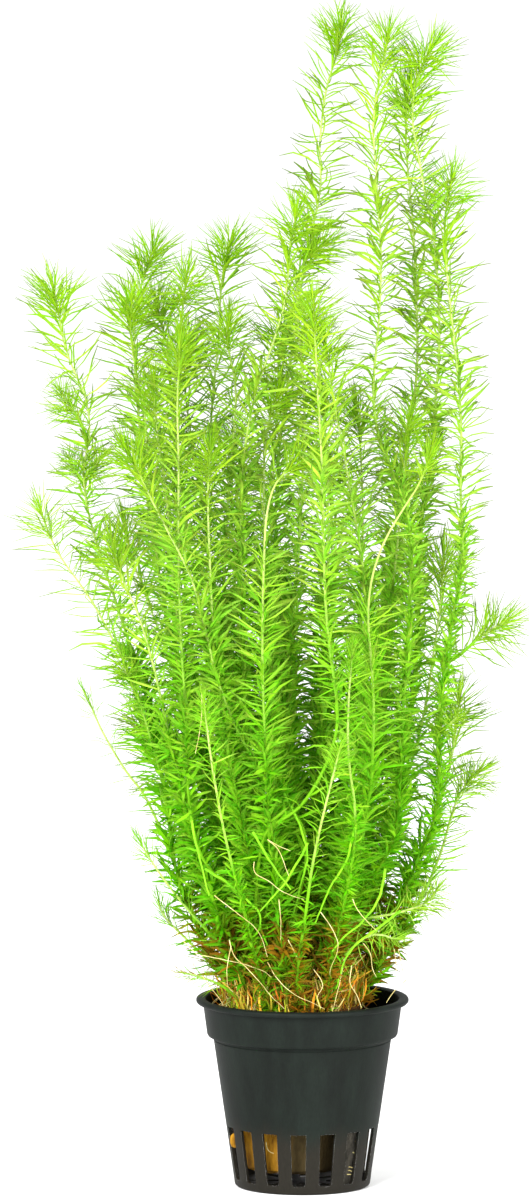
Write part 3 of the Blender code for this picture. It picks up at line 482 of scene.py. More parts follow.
def place(name: str, mesh: Mesh) -> Object:
    """Put a mesh in the scene as an object at the origin.

    Args:
        name: The object's name.
        mesh: Its mesh.

    Returns:
        The object.
    """
    made = bpy.data.objects.new(name, mesh)
    bpy.context.scene.collection.objects.link(made)
    return made


def attach(piece: Object, slot: Slot, *nodes: str, crease: float = 40.0) -> Object:
    """Shade a piece, say what it rides on and hide the solids that it stands for.

    Args:
        piece: The piece.
        slot: The record's slot; not used.
        nodes: The solids that it replaces.
        crease: Edges that turn more than this many degrees stay sharp.

    Returns:
        The piece.
    """
    piece.data.shade_smooth()
    piece.data.set_sharp_from_angle(angle=math.radians(crease))
    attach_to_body(piece, BODY)
    if nodes:
        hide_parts(*nodes)
    log.info("%s: %d faces", piece.name, len(piece.data.polygons))
    return piece


def lines_mesh(name: str, lines: list[list[Vector]]) -> Mesh:
    """A mesh of open lines of edges.

    Args:
        name: The mesh's name.
        lines: Each line's points.

    Returns:
        The mesh.
    """
    points, edges = [], []
    for line in lines:
        edges += [(len(points) + i, len(points) + i + 1) for i in range(len(line) - 1)]
        points += [p[:] for p in line]
    mesh = bpy.data.meshes.new(name)
    mesh.from_pydata(points, edges, [])
    return mesh


def lathe(name: str, profile: list[tuple[float, float]], sides: int, turn: float = 0.0,
          centre: float = 0.0) -> Mesh:
    """A closed body turned about an upright axis.

    Args:
        name: The mesh's name.
        profile: Radius and height from the axis' foot out and up and back to the axis.
        sides: Steps round the axis.
        turn: Angle of the first step.
        centre: X of the axis.

    Returns:
        The mesh, its faces pointing out.
    """
    body = bmesh.new()
    rings = []
    for radius, height in profile[1:-1]:
        rings.append([body.verts.new((centre + radius * math.cos(turn + math.tau * i / sides),
                                      radius * math.sin(turn + math.tau * i / sides), height))
                      for i in range(sides)])
    foot = body.verts.new((centre, 0, profile[0][1]))
    top = body.verts.new((centre, 0, profile[-1][1]))
    for i in range(sides):
        j = (i + 1) % sides
        body.faces.new((foot, rings[0][j], rings[0][i]))
        body.faces.new((top, rings[-1][i], rings[-1][j]))
        for low, high in zip(rings, rings[1:]):
            body.faces.new((low[i], low[j], high[j], high[i]))
    bmesh.ops.recalc_face_normals(body, faces=body.faces[:])
    mesh = bpy.data.meshes.new(name)
    body.to_mesh(mesh)
    body.free()
    return mesh


def sight(x: float, z: float, y: float) -> Vector:
    """The point at depth y mm that the eye sees at x, z mm on the plane Y = 0.

    Args:
        x: Seen X in mm.
        z: Seen Z in mm.
        y: Depth Y in mm.

    Returns:
        The point in the frame's metres.
    """
    return EYE + (Vector((x, 0, z)) * MM - EYE) * (1 - y * MM / EYE.y)


def read_route(depth: tuple[float, float, float], points: list[tuple[float, float]]) -> list[Vector]:
    """The control points of a route in metres, each pushed along its sight line to its depth.

    Args:
        depth: Y in mm at the foot, the middle and the tip.
        points: X and Z in mm as seen from the eye on the plane Y = 0.

    Returns:
        The points.
    """
    foot, middle, tip = depth
    travelled = [0.0]
    for a, b in zip(points, points[1:]):
        travelled.append(travelled[-1] + math.dist(a, b))
    route = []
    for (x, z), at in zip(points, travelled):
        t = at / travelled[-1]
        y = foot * (1 - t) * (1 - 2 * t) + 4 * middle * t * (1 - t) + tip * t * (2 * t - 1)
        route.append(sight(x, z, y))
    return route


def smooth(route: list[Vector], step: float) -> list[Vector]:
    """A Catmull-Rom curve through the points, as points an even step apart.

    Args:
        route: The control points.
        step: The distance between the points wanted.

    Returns:
        The curve's points.
    """
    ends = [route[0] * 2 - route[1]] + route + [route[-1] * 2 - route[-2]]
    fine = []
    for a, b, c, d in zip(ends, ends[1:], ends[2:], ends[3:]):
        for i in range(CURVE_STEPS):
            t = i / CURVE_STEPS
            fine.append((b * 2 + (c - a) * t + (a * 2 - b * 5 + c * 4 - d) * t * t
                         + (b * 3 - a - c * 3 + d) * t ** 3) / 2)
    fine.append(route[-1].copy())
    return resample(fine, step)


def resample(fine: list[Vector], step: float) -> list[Vector]:
    """Points about a step apart along a line of closer points.

    Args:
        fine: The line.
        step: The distance between the points wanted.

    Returns:
        The points, the line's two ends among them.
    """
    travelled = [0.0]
    for a, b in zip(fine, fine[1:]):
        travelled.append(travelled[-1] + (b - a).length)
    count = max(4, round(travelled[-1] / step))
    points, at = [], 0
    for i in range(count + 1):
        goal = travelled[-1] * i / count
        while at < len(fine) - 2 and travelled[at + 1] < goal:
            at += 1
        share = (goal - travelled[at]) / max(travelled[at + 1] - travelled[at], 1e-9)
        points.append(fine[at].lerp(fine[at + 1], min(max(share, 0.0), 1.0)))
    return points


def spread(routes: dict[str, list[Vector]]) -> dict[str, list[Vector]]:
    """Push stems that come too near each other apart sideways, a little at a time.

    Args:
        routes: Each stem's points by name.

    Returns:
        The same, pushed apart.
    """
    owners = [name for name, route in routes.items() for _ in route]
    for _ in range(SPREAD_ROUNDS):
        points = [p for route in routes.values() for p in route]
        tree = KDTree(len(points))
        for i, p in enumerate(points):
            tree.insert(p, i)
        tree.balance()
        for name, route in routes.items():
            moves = []
            for p in route:
                move = Vector((0, 0, 0))
                for near, j, distance in tree.find_range(p, STEM_SPACING):
                    if owners[j] != name:
                        away = p - near
                        away.z = 0
                        move += away.normalized() * (STEM_SPACING - distance) * PUSH_SHARE
                moves.append(move)
            for _ in range(2):
                moves = [(moves[max(i - 1, 0)] + m * 2 + moves[min(i + 1, len(moves) - 1)]) / 4
                         for i, m in enumerate(moves)]
            routes[name] = [p + m for p, m in zip(route, moves)]
    return routes


def mat_height(x: float, y: float) -> float:
    """The height of the old growth's upper surface, a low dome over the plug.

    Args:
        x: X in metres.
        y: Y in metres.

    Returns:
        The height in metres.
    """
    reach = math.hypot(x - PLUG_CENTRE_X, y) / MAT_RADIUS
    return PLUG_TOP_HEIGHT + GAP + MAT_SIDE + MAT_CREST * max(0.0, 1 - reach * reach)


def route_length(route: list[Vector]) -> float:
    """The length of a route.

    Args:
        route: Its points.

    Returns:
        The length in metres.
    """
    return sum((b - a).length for a, b in zip(route, route[1:]))


@dataclass(frozen=True)
class StrandMap:
    """Where strands lie on the map: U is the place along a strand within its column, V is its age row.

    Each hue bin has two columns, the first for a strand's upper side and the second for its back.
    """

    bins: int = 4
    row_low: float = 0.11
    row_high: float = 0.98

    def mark(self, tree: NodeTree, points: Node, age: Node, who: Node) -> Node:
        """Store each strand's row and bin on the point it grows from.

        Args:
            tree: The tree to add to.
            points: The points.
            age: Each strand's age from 0 to 1.
            who: Each strand's number.

        Returns:
            The points with both stored.
        """
        add = partial(add_node, tree)
        row = add("MapRange", [age, 0.0, 1.0, self.row_low, self.row_high])
        points = add("StoreNamedAttribute", {"Geometry": points, "Name": "row", "Value": row})
        number = add("RandomValue", {"Min": 0, "Max": self.bins - 1, "ID": who, "Seed": 9}, data_type="INT")
        return add("StoreNamedAttribute", {"Geometry": points, "Name": "bin", "Value": number})

    def lay(self, tree: NodeTree, strands: Node) -> Node:
        """Lay each strand out on the map from what it carries.

        Args:
            tree: The tree to add to.
            strands: The strands' mesh.

        Returns:
            The mesh with its map.
        """
        add = partial(add_node, tree)
        along, across, row, number, back = (
            add("InputNamedAttribute", {"Name": name})
            for name in ("along", "across", "row", "bin", "back"))
        inside = add("MapRange", [along, 0.0, 1.0, 0.06, 0.94])
        column = add("Math", [number, 2.0, back], "MULTIPLY_ADD")
        spot = add("Math", [inside, column], "ADD")
        spot = add("Math", [spot, 2.0 * self.bins], "DIVIDE")
        rise = add("Math", [across, 0.02, row], "MULTIPLY_ADD")
        spot = add("CombineXYZ", [spot, rise])
        return add("StoreNamedAttribute", {
            "Geometry": strands, "Name": UV_MAP, "Value": spot}, data_type="FLOAT2", domain="CORNER")

    def read(self, tree: NodeTree) -> dict[str, Node | NodeSocket]:
        """Read the map in a material.

        Args:
            tree: The material's tree.

        Returns:
            By name: the place along the strand, its bin from 0 to 1, 1 on its back, its age row, the raw U.
        """
        add = partial(add_node, tree)
        spot = add("UVMap", uv_map=UV_MAP)
        parts = add("SeparateXYZ", [spot])
        columns = add("Math", [parts.outputs[0], 2.0 * self.bins], "MULTIPLY")
        along = add("Math", [columns], "FRACT")
        column = add("Math", [columns], "FLOOR")
        back = add("Math", [column, 2.0], "MODULO")
        pair = add("Math", [column, back], "SUBTRACT")
        number = add("Math", [pair, 2.0 * (self.bins - 1)], "DIVIDE")
        return {"along": along, "bin": number, "back": back, "row": parts.outputs[1], "u": parts.outputs[0]}


@dataclass(frozen=True)
class GreenTissue:
    """Living leaf and stem of bogmoss: thin and wet-looking, lime where young, deep green where old.

    Colour comes from the strand map: age by row, a pale keel end, an olive point, a darker back, partly its
    own tone and partly painted shade, and a shift of hue by bin. Light that shines through gives the glow; a
    fine mottle in the object's space breaks it up.
    """

    layout: StrandMap = field(default_factory=StrandMap)
    stem_rows: float = 0.08
    roughness: float = 0.5
    sheen_level: float = 0.06
    see_through: float = 0.5
    mottle_scale: float = 650.0
    back_shade_share: float = 0.55
    tip_share: float = 0.85
    ages: tuple[tuple[float, str], ...] = (
        (0.10, "#A0DC04"), (0.24, "#BCF43C"), (0.42, "#C8FF58"), (0.56, "#A8F430"), (0.72, "#74D808"),
        (0.83, "#86A008"), (0.91, "#C09A1A"), (1.00, "#9A6212"))
    stems: tuple[tuple[float, str], ...] = (
        (0.00, "#8A8A24"), (0.08, "#74AC14"), (0.45, "#90D428"), (0.68, "#C4DC70"), (0.88, "#D4E490"),
        (1.00, "#A8D030"))
    leaf_base: str = "#CEF03C"
    leaf_tip: str = "#5C6A30"
    leaf_back_and_shade: str = "#88A034"

    def make(self) -> Material:
        """Build the material.

        Returns:
            The material.
        """
        made, tree = new_material("bogmoss_leaf_tissue")
        add = partial(add_node, tree)
        strand = self.layout.read(tree)
        along, row = strand["along"], strand["row"]
        leaf = add("ValToRGB", [row], stops=self.ages)
        young = add("MapRange", [row, 0.3, 0.7, 1.0, 0.1])
        in_tuft = add("MapRange", [row, 0.12, 0.26, 0.3, 1.0])
        pale = add("MapRange", [along, 0.0, 0.4, 0.6, 0.0])
        # The back's darker, greyer hue is partly its own tone, partly painted shade
        back_and_shade = add("MapRange", [young, 0.0, 1.0, 0.1, self.back_shade_share])
        point = add("MapRange", [along, 0.45, 0.95, 0.0, self.tip_share])
        fading = add("MapRange", [young, 0.0, 1.0, 0.4, 1.0])
        # A pale keel end, a darker back (own tone and painted shade), an olive point: each weaker on old
        # leaves or in the tuft
        for share, limits, code in ((pale, [young], self.leaf_base),
                                    (back_and_shade, [in_tuft, strand["back"]], self.leaf_back_and_shade),
                                    (point, [fading, in_tuft], self.leaf_tip)):
            for limit in limits:
                share = add("Math", [share, limit], "MULTIPLY")
            leaf = add("Mix", {"Factor": share, "A": leaf, "B": linear(code)}, data_type="RGBA")
        hue = add("MapRange", [strand["bin"], 0.0, 1.0, 0.486, 0.508])
        shade = add("MapRange", [strand["bin"], 0.0, 1.0, 1.0, 0.88])
        leaf = add("HueSaturation", {"Hue": hue, "Value": shade, "Color": leaf})
        stem = add("ValToRGB", [strand["u"]], stops=self.stems)
        is_stem = add("Math", [row, self.stem_rows], "LESS_THAN")
        colour = add("Mix", {"Factor": is_stem, "A": leaf, "B": stem}, data_type="RGBA")
        # Cells and veins read as a soft mottle about 1.5 mm across
        where = add("TexCoord").outputs["Object"]
        mottle = add("TexNoise", {"Vector": where, "Scale": self.mottle_scale, "Detail": 2.0})
        mottling = add("MapRange", [mottle, 0.3, 0.7, 0.88, 1.0])
        colour = add("HueSaturation", {"Value": mottling, "Color": colour})
        bump = add("Bump", {"Height": mottle, "Strength": 0.25, "Distance": 0.0001})
        face = add("BsdfPrincipled", {
            "Base Color": colour, "Roughness": self.roughness, "Specular IOR Level": self.sheen_level,
            "Normal": bump})
        through = add("BsdfTranslucent", {"Color": colour})
        mix = add("MixShader", [self.see_through, face, through])
        add("OutputMaterial", {"Surface": mix})
        return made


@dataclass(frozen=True)
class DeadLeaf:
    """Dead leaves and old stem ends: papery and matt, straw through rust to dark brown, some still green."""

    layout: StrandMap = field(default_factory=StrandMap)
    roughness: float = 0.7
    sheen_level: float = 0.25
    kinds: tuple[tuple[float, str], ...] = (
        (0.10, "#F4E088"), (0.22, "#E4C040"), (0.34, "#E89C1C"), (0.48, "#CC7410"), (0.60, "#8A4A0C"),
        (0.70, "#B8A828"), (0.82, "#A8BC1C"), (1.00, "#78B80C"))

    def make(self) -> Material:
        """Build the material.

        Returns:
            The material.
        """
        made, tree = new_material("bogmoss_dead_leaf")
        add = partial(add_node, tree)
        strand = self.layout.read(tree)
        colour = add("ValToRGB", [strand["row"]], stops=self.kinds)
        shade = add("MapRange", [strand["bin"], 0.0, 1.0, 1.2, 0.7])
        ends = add("MapRange", [strand["along"], 0.7, 1.0, 1.0, 0.75])
        shade = add("Math", [shade, ends], "MULTIPLY")
        # Rot shows as blotches about 1 mm across
        where = add("TexCoord").outputs["Object"]
        blotch = add("TexNoise", {"Vector": where, "Scale": 900.0, "Detail": 3.0})
        blotching = add("MapRange", [blotch, 0.3, 0.7, 0.75, 1.15])
        shade = add("Math", [shade, blotching], "MULTIPLY")
        colour = add("HueSaturation", {"Value": shade, "Color": colour})
        bump = add("Bump", {"Height": blotch, "Strength": 0.4, "Distance": 0.0001})
        face = add("BsdfPrincipled", {
            "Base Color": colour, "Roughness": self.roughness, "Specular IOR Level": self.sheen_level,
            "Normal": bump})
        add("OutputMaterial", {"Surface": face})
        return made


@dataclass(frozen=True)
class Grained:
    """A plain body with a coarse pattern, a fine grain and relief: two hues mixed by noise of real size.

    Attributes:
        name: The real material's name.
        light: Its lighter hue.
        dark: Its darker hue.
        patch: Patches per metre of the coarse pattern.
        stretch: How the pattern's axes are scaled; a small Z makes upright streaks.
        grain: Grains per metre of the fine pattern.
        relief: Depth in metres of the fine grain.
        roughness: How matt it is.
        sheen_level: How much light its face throws back, where 0.5 is plain plastic.
        dirt_and_shade: A hue that takes over where X runs from the first to the second place, in metres:
            dirt, and painted shade.
        foot: The same where Z does.
        wander: How far the edge of either strays, in metres.
    """

    name: str
    light: str
    dark: str
    patch: float
    stretch: tuple[float, float, float]
    grain: float
    relief: float
    roughness: float
    sheen_level: float = 0.4
    dirt_and_shade: tuple[str, float, float] | None = None
    foot: tuple[str, float, float] | None = None
    wander: float = 12.0 * MM

    def make(self) -> Material:
        """Build the material.

        Returns:
            The material.
        """
        made, tree = new_material(self.name)
        add = partial(add_node, tree)
        where = add("TexCoord").outputs["Object"]
        drawn = add("Mapping", {"Vector": where, "Scale": self.stretch})
        patch = add("TexNoise", {"Vector": drawn, "Scale": self.patch, "Detail": 4.0, "Roughness": 0.6})
        grain = add("TexNoise", {"Vector": drawn, "Scale": self.grain, "Detail": 2.0})
        share = add("MapRange", [patch, 0.35, 0.65, 0.0, 1.0])
        colour = add("Mix", {
            "Factor": share, "A": linear(self.dark), "B": linear(self.light)}, data_type="RGBA")
        axes = add("SeparateXYZ", [where])
        # Bands of another hue: on the wool, dirt with painted shade towards +X; on the pot, a browner foot
        for band, axis in ((self.dirt_and_shade, 0), (self.foot, 2)):
            if band:
                hue, start, end = band
                middle = self.wander / 2
                edge = add("Math", [patch, self.wander, axes.outputs[axis]], "MULTIPLY_ADD")
                reach = add("MapRange", [
                    edge, start + middle, end + middle, 0.0, 1.0], interpolation_type="SMOOTHSTEP")
                colour = add("Mix", {"Factor": reach, "A": colour, "B": linear(hue)}, data_type="RGBA")
        graining = add("MapRange", [grain, 0.3, 0.7, 0.88, 1.12])
        colour = add("HueSaturation", {"Value": graining, "Color": colour})
        bump = add("Bump", {"Height": grain, "Strength": 1.0, "Distance": self.relief})
        face = add("BsdfPrincipled", {
            "Base Color": colour, "Roughness": self.roughness, "Specular IOR Level": self.sheen_level,
            "Normal": bump})
        add("OutputMaterial", {"Surface": face})
        return made


# Moulded polypropylene: charcoal, faint upright flow lines, a fine matt grain, browner near its foot
POT_PLASTIC = Grained("charcoal_polypropylene", "#141A16", "#0E120F", 160.0, (1.0, 1.0, 0.25), 2600.0,
                      0.00003, 0.55, 0.08, foot=("#1D1B16", 0.019, 0.011))
# Rock wool: golden fibre drawn upright, brown-black towards +X, where the plug stands back from the wall:
# partly dirt and roots, partly painted shade
WOOL_FIBRE = Grained("mineral_wool", "#B48218", "#6A4608", 500.0, (1.0, 1.0, 0.14), 2400.0, 0.0002, 0.8, 0.15,
                     dirt_and_shade=("#483C22", -0.0085, -0.002))
# Rotted leaf: what lies deep among the dead leaves, dark and damp
LEAF_MOULD = Grained("leaf_mould", "#5A3A10", "#20160A", 350.0, (1.0, 1.0, 1.0), 1800.0, 0.0003, 0.85, 0.2)
# Living stem skin: bright lime with greener stretches
STEM_SKIN = Grained("bogmoss_stem_skin", "#84CC20", "#5CA414", 140.0, (1.0, 1.0, 1.0), 2000.0,
                    0.00003, 0.5, 0.1)
# Dirt and dead roots felted together, dark also as painted shade: brown-black, flecked
ROOT_FELT_AND_SHADE = Grained("root_felt_and_shade", "#3A3730", "#1C1B17", 700.0, (1.0, 1.0, 0.5), 2600.0, 0.0003, 0.9, 0.1)
# Living root skin: cream with tan stretches
ROOT_SKIN = Grained("root_skin", "#DAD294", "#AE9650", 260.0, (1.0, 1.0, 1.0), 2500.0, 0.00003, 0.55, 0.3)


@dataclass(frozen=True)
class Blade:
    """A strand of unit length along Z, its width along Y, its flat side towards +X, its keel towards -X.

    Attributes:
        low: How far towards +X its lower handle stands, as a share of its length.
        high: The same for its upper handle.
        side: How far along Y both stand.
        twist: How far its tip is turned about its length.
        width: How wide it is, as a share of its length.
        thickness: How thick it is at its keel, as a share of its length.
        steps: Pieces along it.
        sides: Sides of its profile.
        shape: Its width along it.
    """

    low: float
    high: float
    side: float = 0.0
    twist: float = 0.0
    width: float = 0.06
    thickness: float = 0.02
    steps: int = 4
    sides: int = 3
    shape: tuple[tuple[float, float], ...] = ((0.0, 0.6), (0.25, 1.0), (0.72, 0.9), (1.0, 0.26))

    def add(self, tree: NodeTree) -> Node:
        """Add the strand to a tree.

        Args:
            tree: The tree.

        Returns:
            The node that holds it as an instance.
        """
        add = partial(add_node, tree)
        line = add("CurvePrimitiveBezierSegment", {
            "Start": (0, 0, 0), "Start Handle": (self.low, self.side, 0.33),
            "End Handle": (self.high, self.side, 0.67), "End": (0, 0, 1)})
        line = add("ResampleCurve", {"Curve": line, "Count": self.steps + 1}, mode="COUNT")
        at = add("SplineParameter").outputs["Factor"]
        line = add("StoreNamedAttribute", {"Geometry": line, "Name": "along", "Value": at})
        line = add("SetCurveNormal", {"Curve": line, "Normal": (0, 1, 0)}, mode="FREE")
        tilt = add("Math", [at, self.twist], "MULTIPLY")
        line = add("SetCurveTilt", {"Curve": line, "Tilt": tilt})
        taper = add("FloatCurve", {"Value": at}, stops=self.shape)
        keel = add("CurvePrimitiveCircle", {"Resolution": self.sides, "Radius": 0.5})
        spot = add("SeparateXYZ", [add("InputPosition")])
        keel = add("StoreNamedAttribute", {"Geometry": keel, "Name": "across", "Value": spot.outputs[1]})
        keel = add("Transform", {
            "Geometry": keel, "Scale": (self.thickness, self.width, 1.0),
            "Rotation": (0, 0, math.radians(90))})
        blade = add("CurveToMesh", {"Curve": line, "Profile Curve": keel, "Scale": taper, "Fill Caps": True})
        facing = add("SeparateXYZ", [add("InputNormal")])
        back = add("Math", [facing, 0.0], "LESS_THAN")
        blade = add("StoreNamedAttribute", {"Geometry": blade, "Name": "back", "Value": back}, domain="FACE")
        return add("GeometryToInstance", {"Geometry": blade})


@dataclass
class NetPot:
    """The net pot: a turned wall with a rolled lip and a stepped collar, slotted round its foot and floor."""

    sides: int = 192
    slots: int = 16
    cut_start: float = 12.0 * MM
    cut_depth: float = 10.0 * MM
    slot_turn: float = math.radians(-93.1)
    slot_foot: float = 2.3 * MM
    slot_top: float = 16.1 * MM
    foot_width: float = 3.4 * MM
    top_width: float = 4.1 * MM
    foot_corner: float = 0.8 * MM
    top_corner: float = 0.2 * MM
    floor_slots: int = 8
    floor_reach: tuple[float, float] = (6.0 * MM, 14.5 * MM)
    floor_width: float = 2.6 * MM
    floor_corner: float = 0.5 * MM
    floor_depth: float = 3.4 * MM
    sharp: float = math.radians(50)
    edge: float = 0.12 * MM

    def profile(self) -> list[tuple[float, float]]:
        """The wall's outline, up its outside and down its inside.

        Returns:
            Radius and height in metres.
        """
        base = [(16.55 + math.cos(math.radians(a)), 1 + math.sin(math.radians(a)))
                for a in range(-90, 0, 16)]
        body = [(WALL_OUTSIDE + WALL_SLOPE * z, z) for z in (2.0, 6.0, 11.0, 16.6, 22.0, 28.0, 33.0, 37.2)]
        groove = [(22.97, 38.2), (22.85, 38.36), (22.86, 38.54), (23.0, 38.66)]
        step = [(23.05, 38.8), (23.13, 38.98), (23.4, 39.12), (24.05, 39.22), (24.42, 39.38), (24.62, 39.7),
                (24.7, 40.1), (25.0, 42.4), (25.3, 44.6), (25.62, 47.0)]
        lip = [(25.74, 47.5), (26.0, 47.72), (26.5, 47.78)]
        lip += [(26.85 + 0.65 * math.cos(math.radians(a)), 48.48 + 0.7 * math.sin(math.radians(a)))
                for a in range(-80, 100, 20)]
        inside = [(26.2, 49.2), (25.4, 49.14), (25.0, 48.9), (24.86, 48.4), (24.5, 45.4), (24.14, 42.6),
                  (23.84, 40.3), (23.66, 39.95), (22.5, 39.1), (22.18, 38.6)]
        inside += [(WALL_INSIDE + WALL_SLOPE * z, z) for z in (33.0, 28.0, 22.0, 16.6, 11.0, 6.0, 2.4)]
        inside += [(16.7, 1.7), (16.3, 1.25), (15.6, 1.1), (0.0, 1.1)]
        return [(r * MM, z * MM) for r, z in [(0.0, 0.0)] + base + body + groove + step + lip + inside]

    def slot_tree(self) -> NodeTree:
        """The tree that sets the cutters round the pot and cuts them out.

        Returns:
            The tree.
        """
        tree, given = new_tree("pot_slots", {
            "Wall slots": self.slots, "Floor slots": self.floor_slots, "Turn": self.slot_turn,
            "Plastic": None})
        add = partial(add_node, tree)
        upright = add("CurvePrimitiveQuadrilateral", {
            "Height": self.slot_top - self.slot_foot, "Bottom Width": self.foot_width,
            "Top Width": self.top_width, "Offset": 0.0}, mode="TRAPEZOID")
        spot = add("SeparateXYZ", [add("InputPosition")])
        rounding = add("MapRange", [spot.outputs[1], -MM, MM, self.foot_corner, self.top_corner])
        upright = add("FilletCurve", {"Curve": upright, "Count": 3, "Radius": rounding}, mode="POLY")
        inner, outer = self.floor_reach
        level = add("CurvePrimitiveQuadrilateral", {
            "Width": outer - inner, "Height": self.floor_width}, mode="RECTANGLE")
        level = add("FilletCurve", {"Curve": level, "Count": 3, "Radius": self.floor_corner}, mode="POLY")
        cutters = []
        for outline, count, depth, turn, shift in (
                (upright, "Wall slots", self.cut_depth, (math.pi / 2, 0, math.pi / 2),
                 (self.cut_start, 0, (self.slot_foot + self.slot_top) / 2)),
                (level, "Floor slots", self.floor_depth, (0, 0, 0), ((inner + outer) / 2, 0, -MM))):
            face = add("FillCurve", {"Curve": outline}, mode="NGONS")
            block = add("ExtrudeMesh", {
                "Mesh": face, "Offset Scale": depth, "Individual": False}, mode="FACES")
            back = add("FlipFaces", {"Mesh": face})
            block = add("JoinGeometry", {"Geometry": [block, back]})
            block = add("MergeByDistance", {"Geometry": block, "Distance": 0.001 * MM})
            block = add("Transform", {"Geometry": block, "Rotation": turn, "Translation": shift})
            pitch = add("Math", [math.tau, given[count]], "DIVIDE")
            index = add("InputIndex")
            angle = add("Math", [index, pitch, given["Turn"]], "MULTIPLY_ADD")
            angle = add("CombineXYZ", {2: angle})
            points = add("Points", {"Count": given[count]})
            blocks = add("InstanceOnPoints", {"Points": points, "Instance": block, "Rotation": angle})
            cutters.append(add("RealizeInstances", {"Geometry": blocks}))
        cut = add("MeshBoolean", {
            "Mesh 1": given["Geometry"], "Mesh 2": cutters}, "DIFFERENCE", solver="EXACT")
        cut = add("SetMaterial", {"Geometry": cut, "Material": given["Plastic"]})
        add("NodeGroupOutput", [cut])
        return tree

    def build(self) -> Object:
        """Turn the wall, cut the slots and ease their edges.

        Returns:
            The pot, in place of its solid.
        """
        step = math.tau / self.sides
        wall = lathe("pot_wall", self.profile(), self.sides, self.slot_turn + step / 2)
        pot = grow("net_pot", wall, self.slot_tree(), {"Plastic": POT_PLASTIC.make()})
        body = bmesh.new()
        body.from_mesh(pot.data)
        sharp = [e for e in body.edges if e.is_manifold and e.calc_face_angle() > self.sharp
                 and max(v.co.z for v in e.verts) < self.slot_top + MM]
        bmesh.ops.bevel(body, geom=sharp, offset=self.edge, segments=2, profile=0.5, affect="EDGES",
                        clamp_overlap=True)
        body.to_mesh(pot.data)
        body.free()
        return attach(pot, Slot.POT, "pot", crease=32.0)


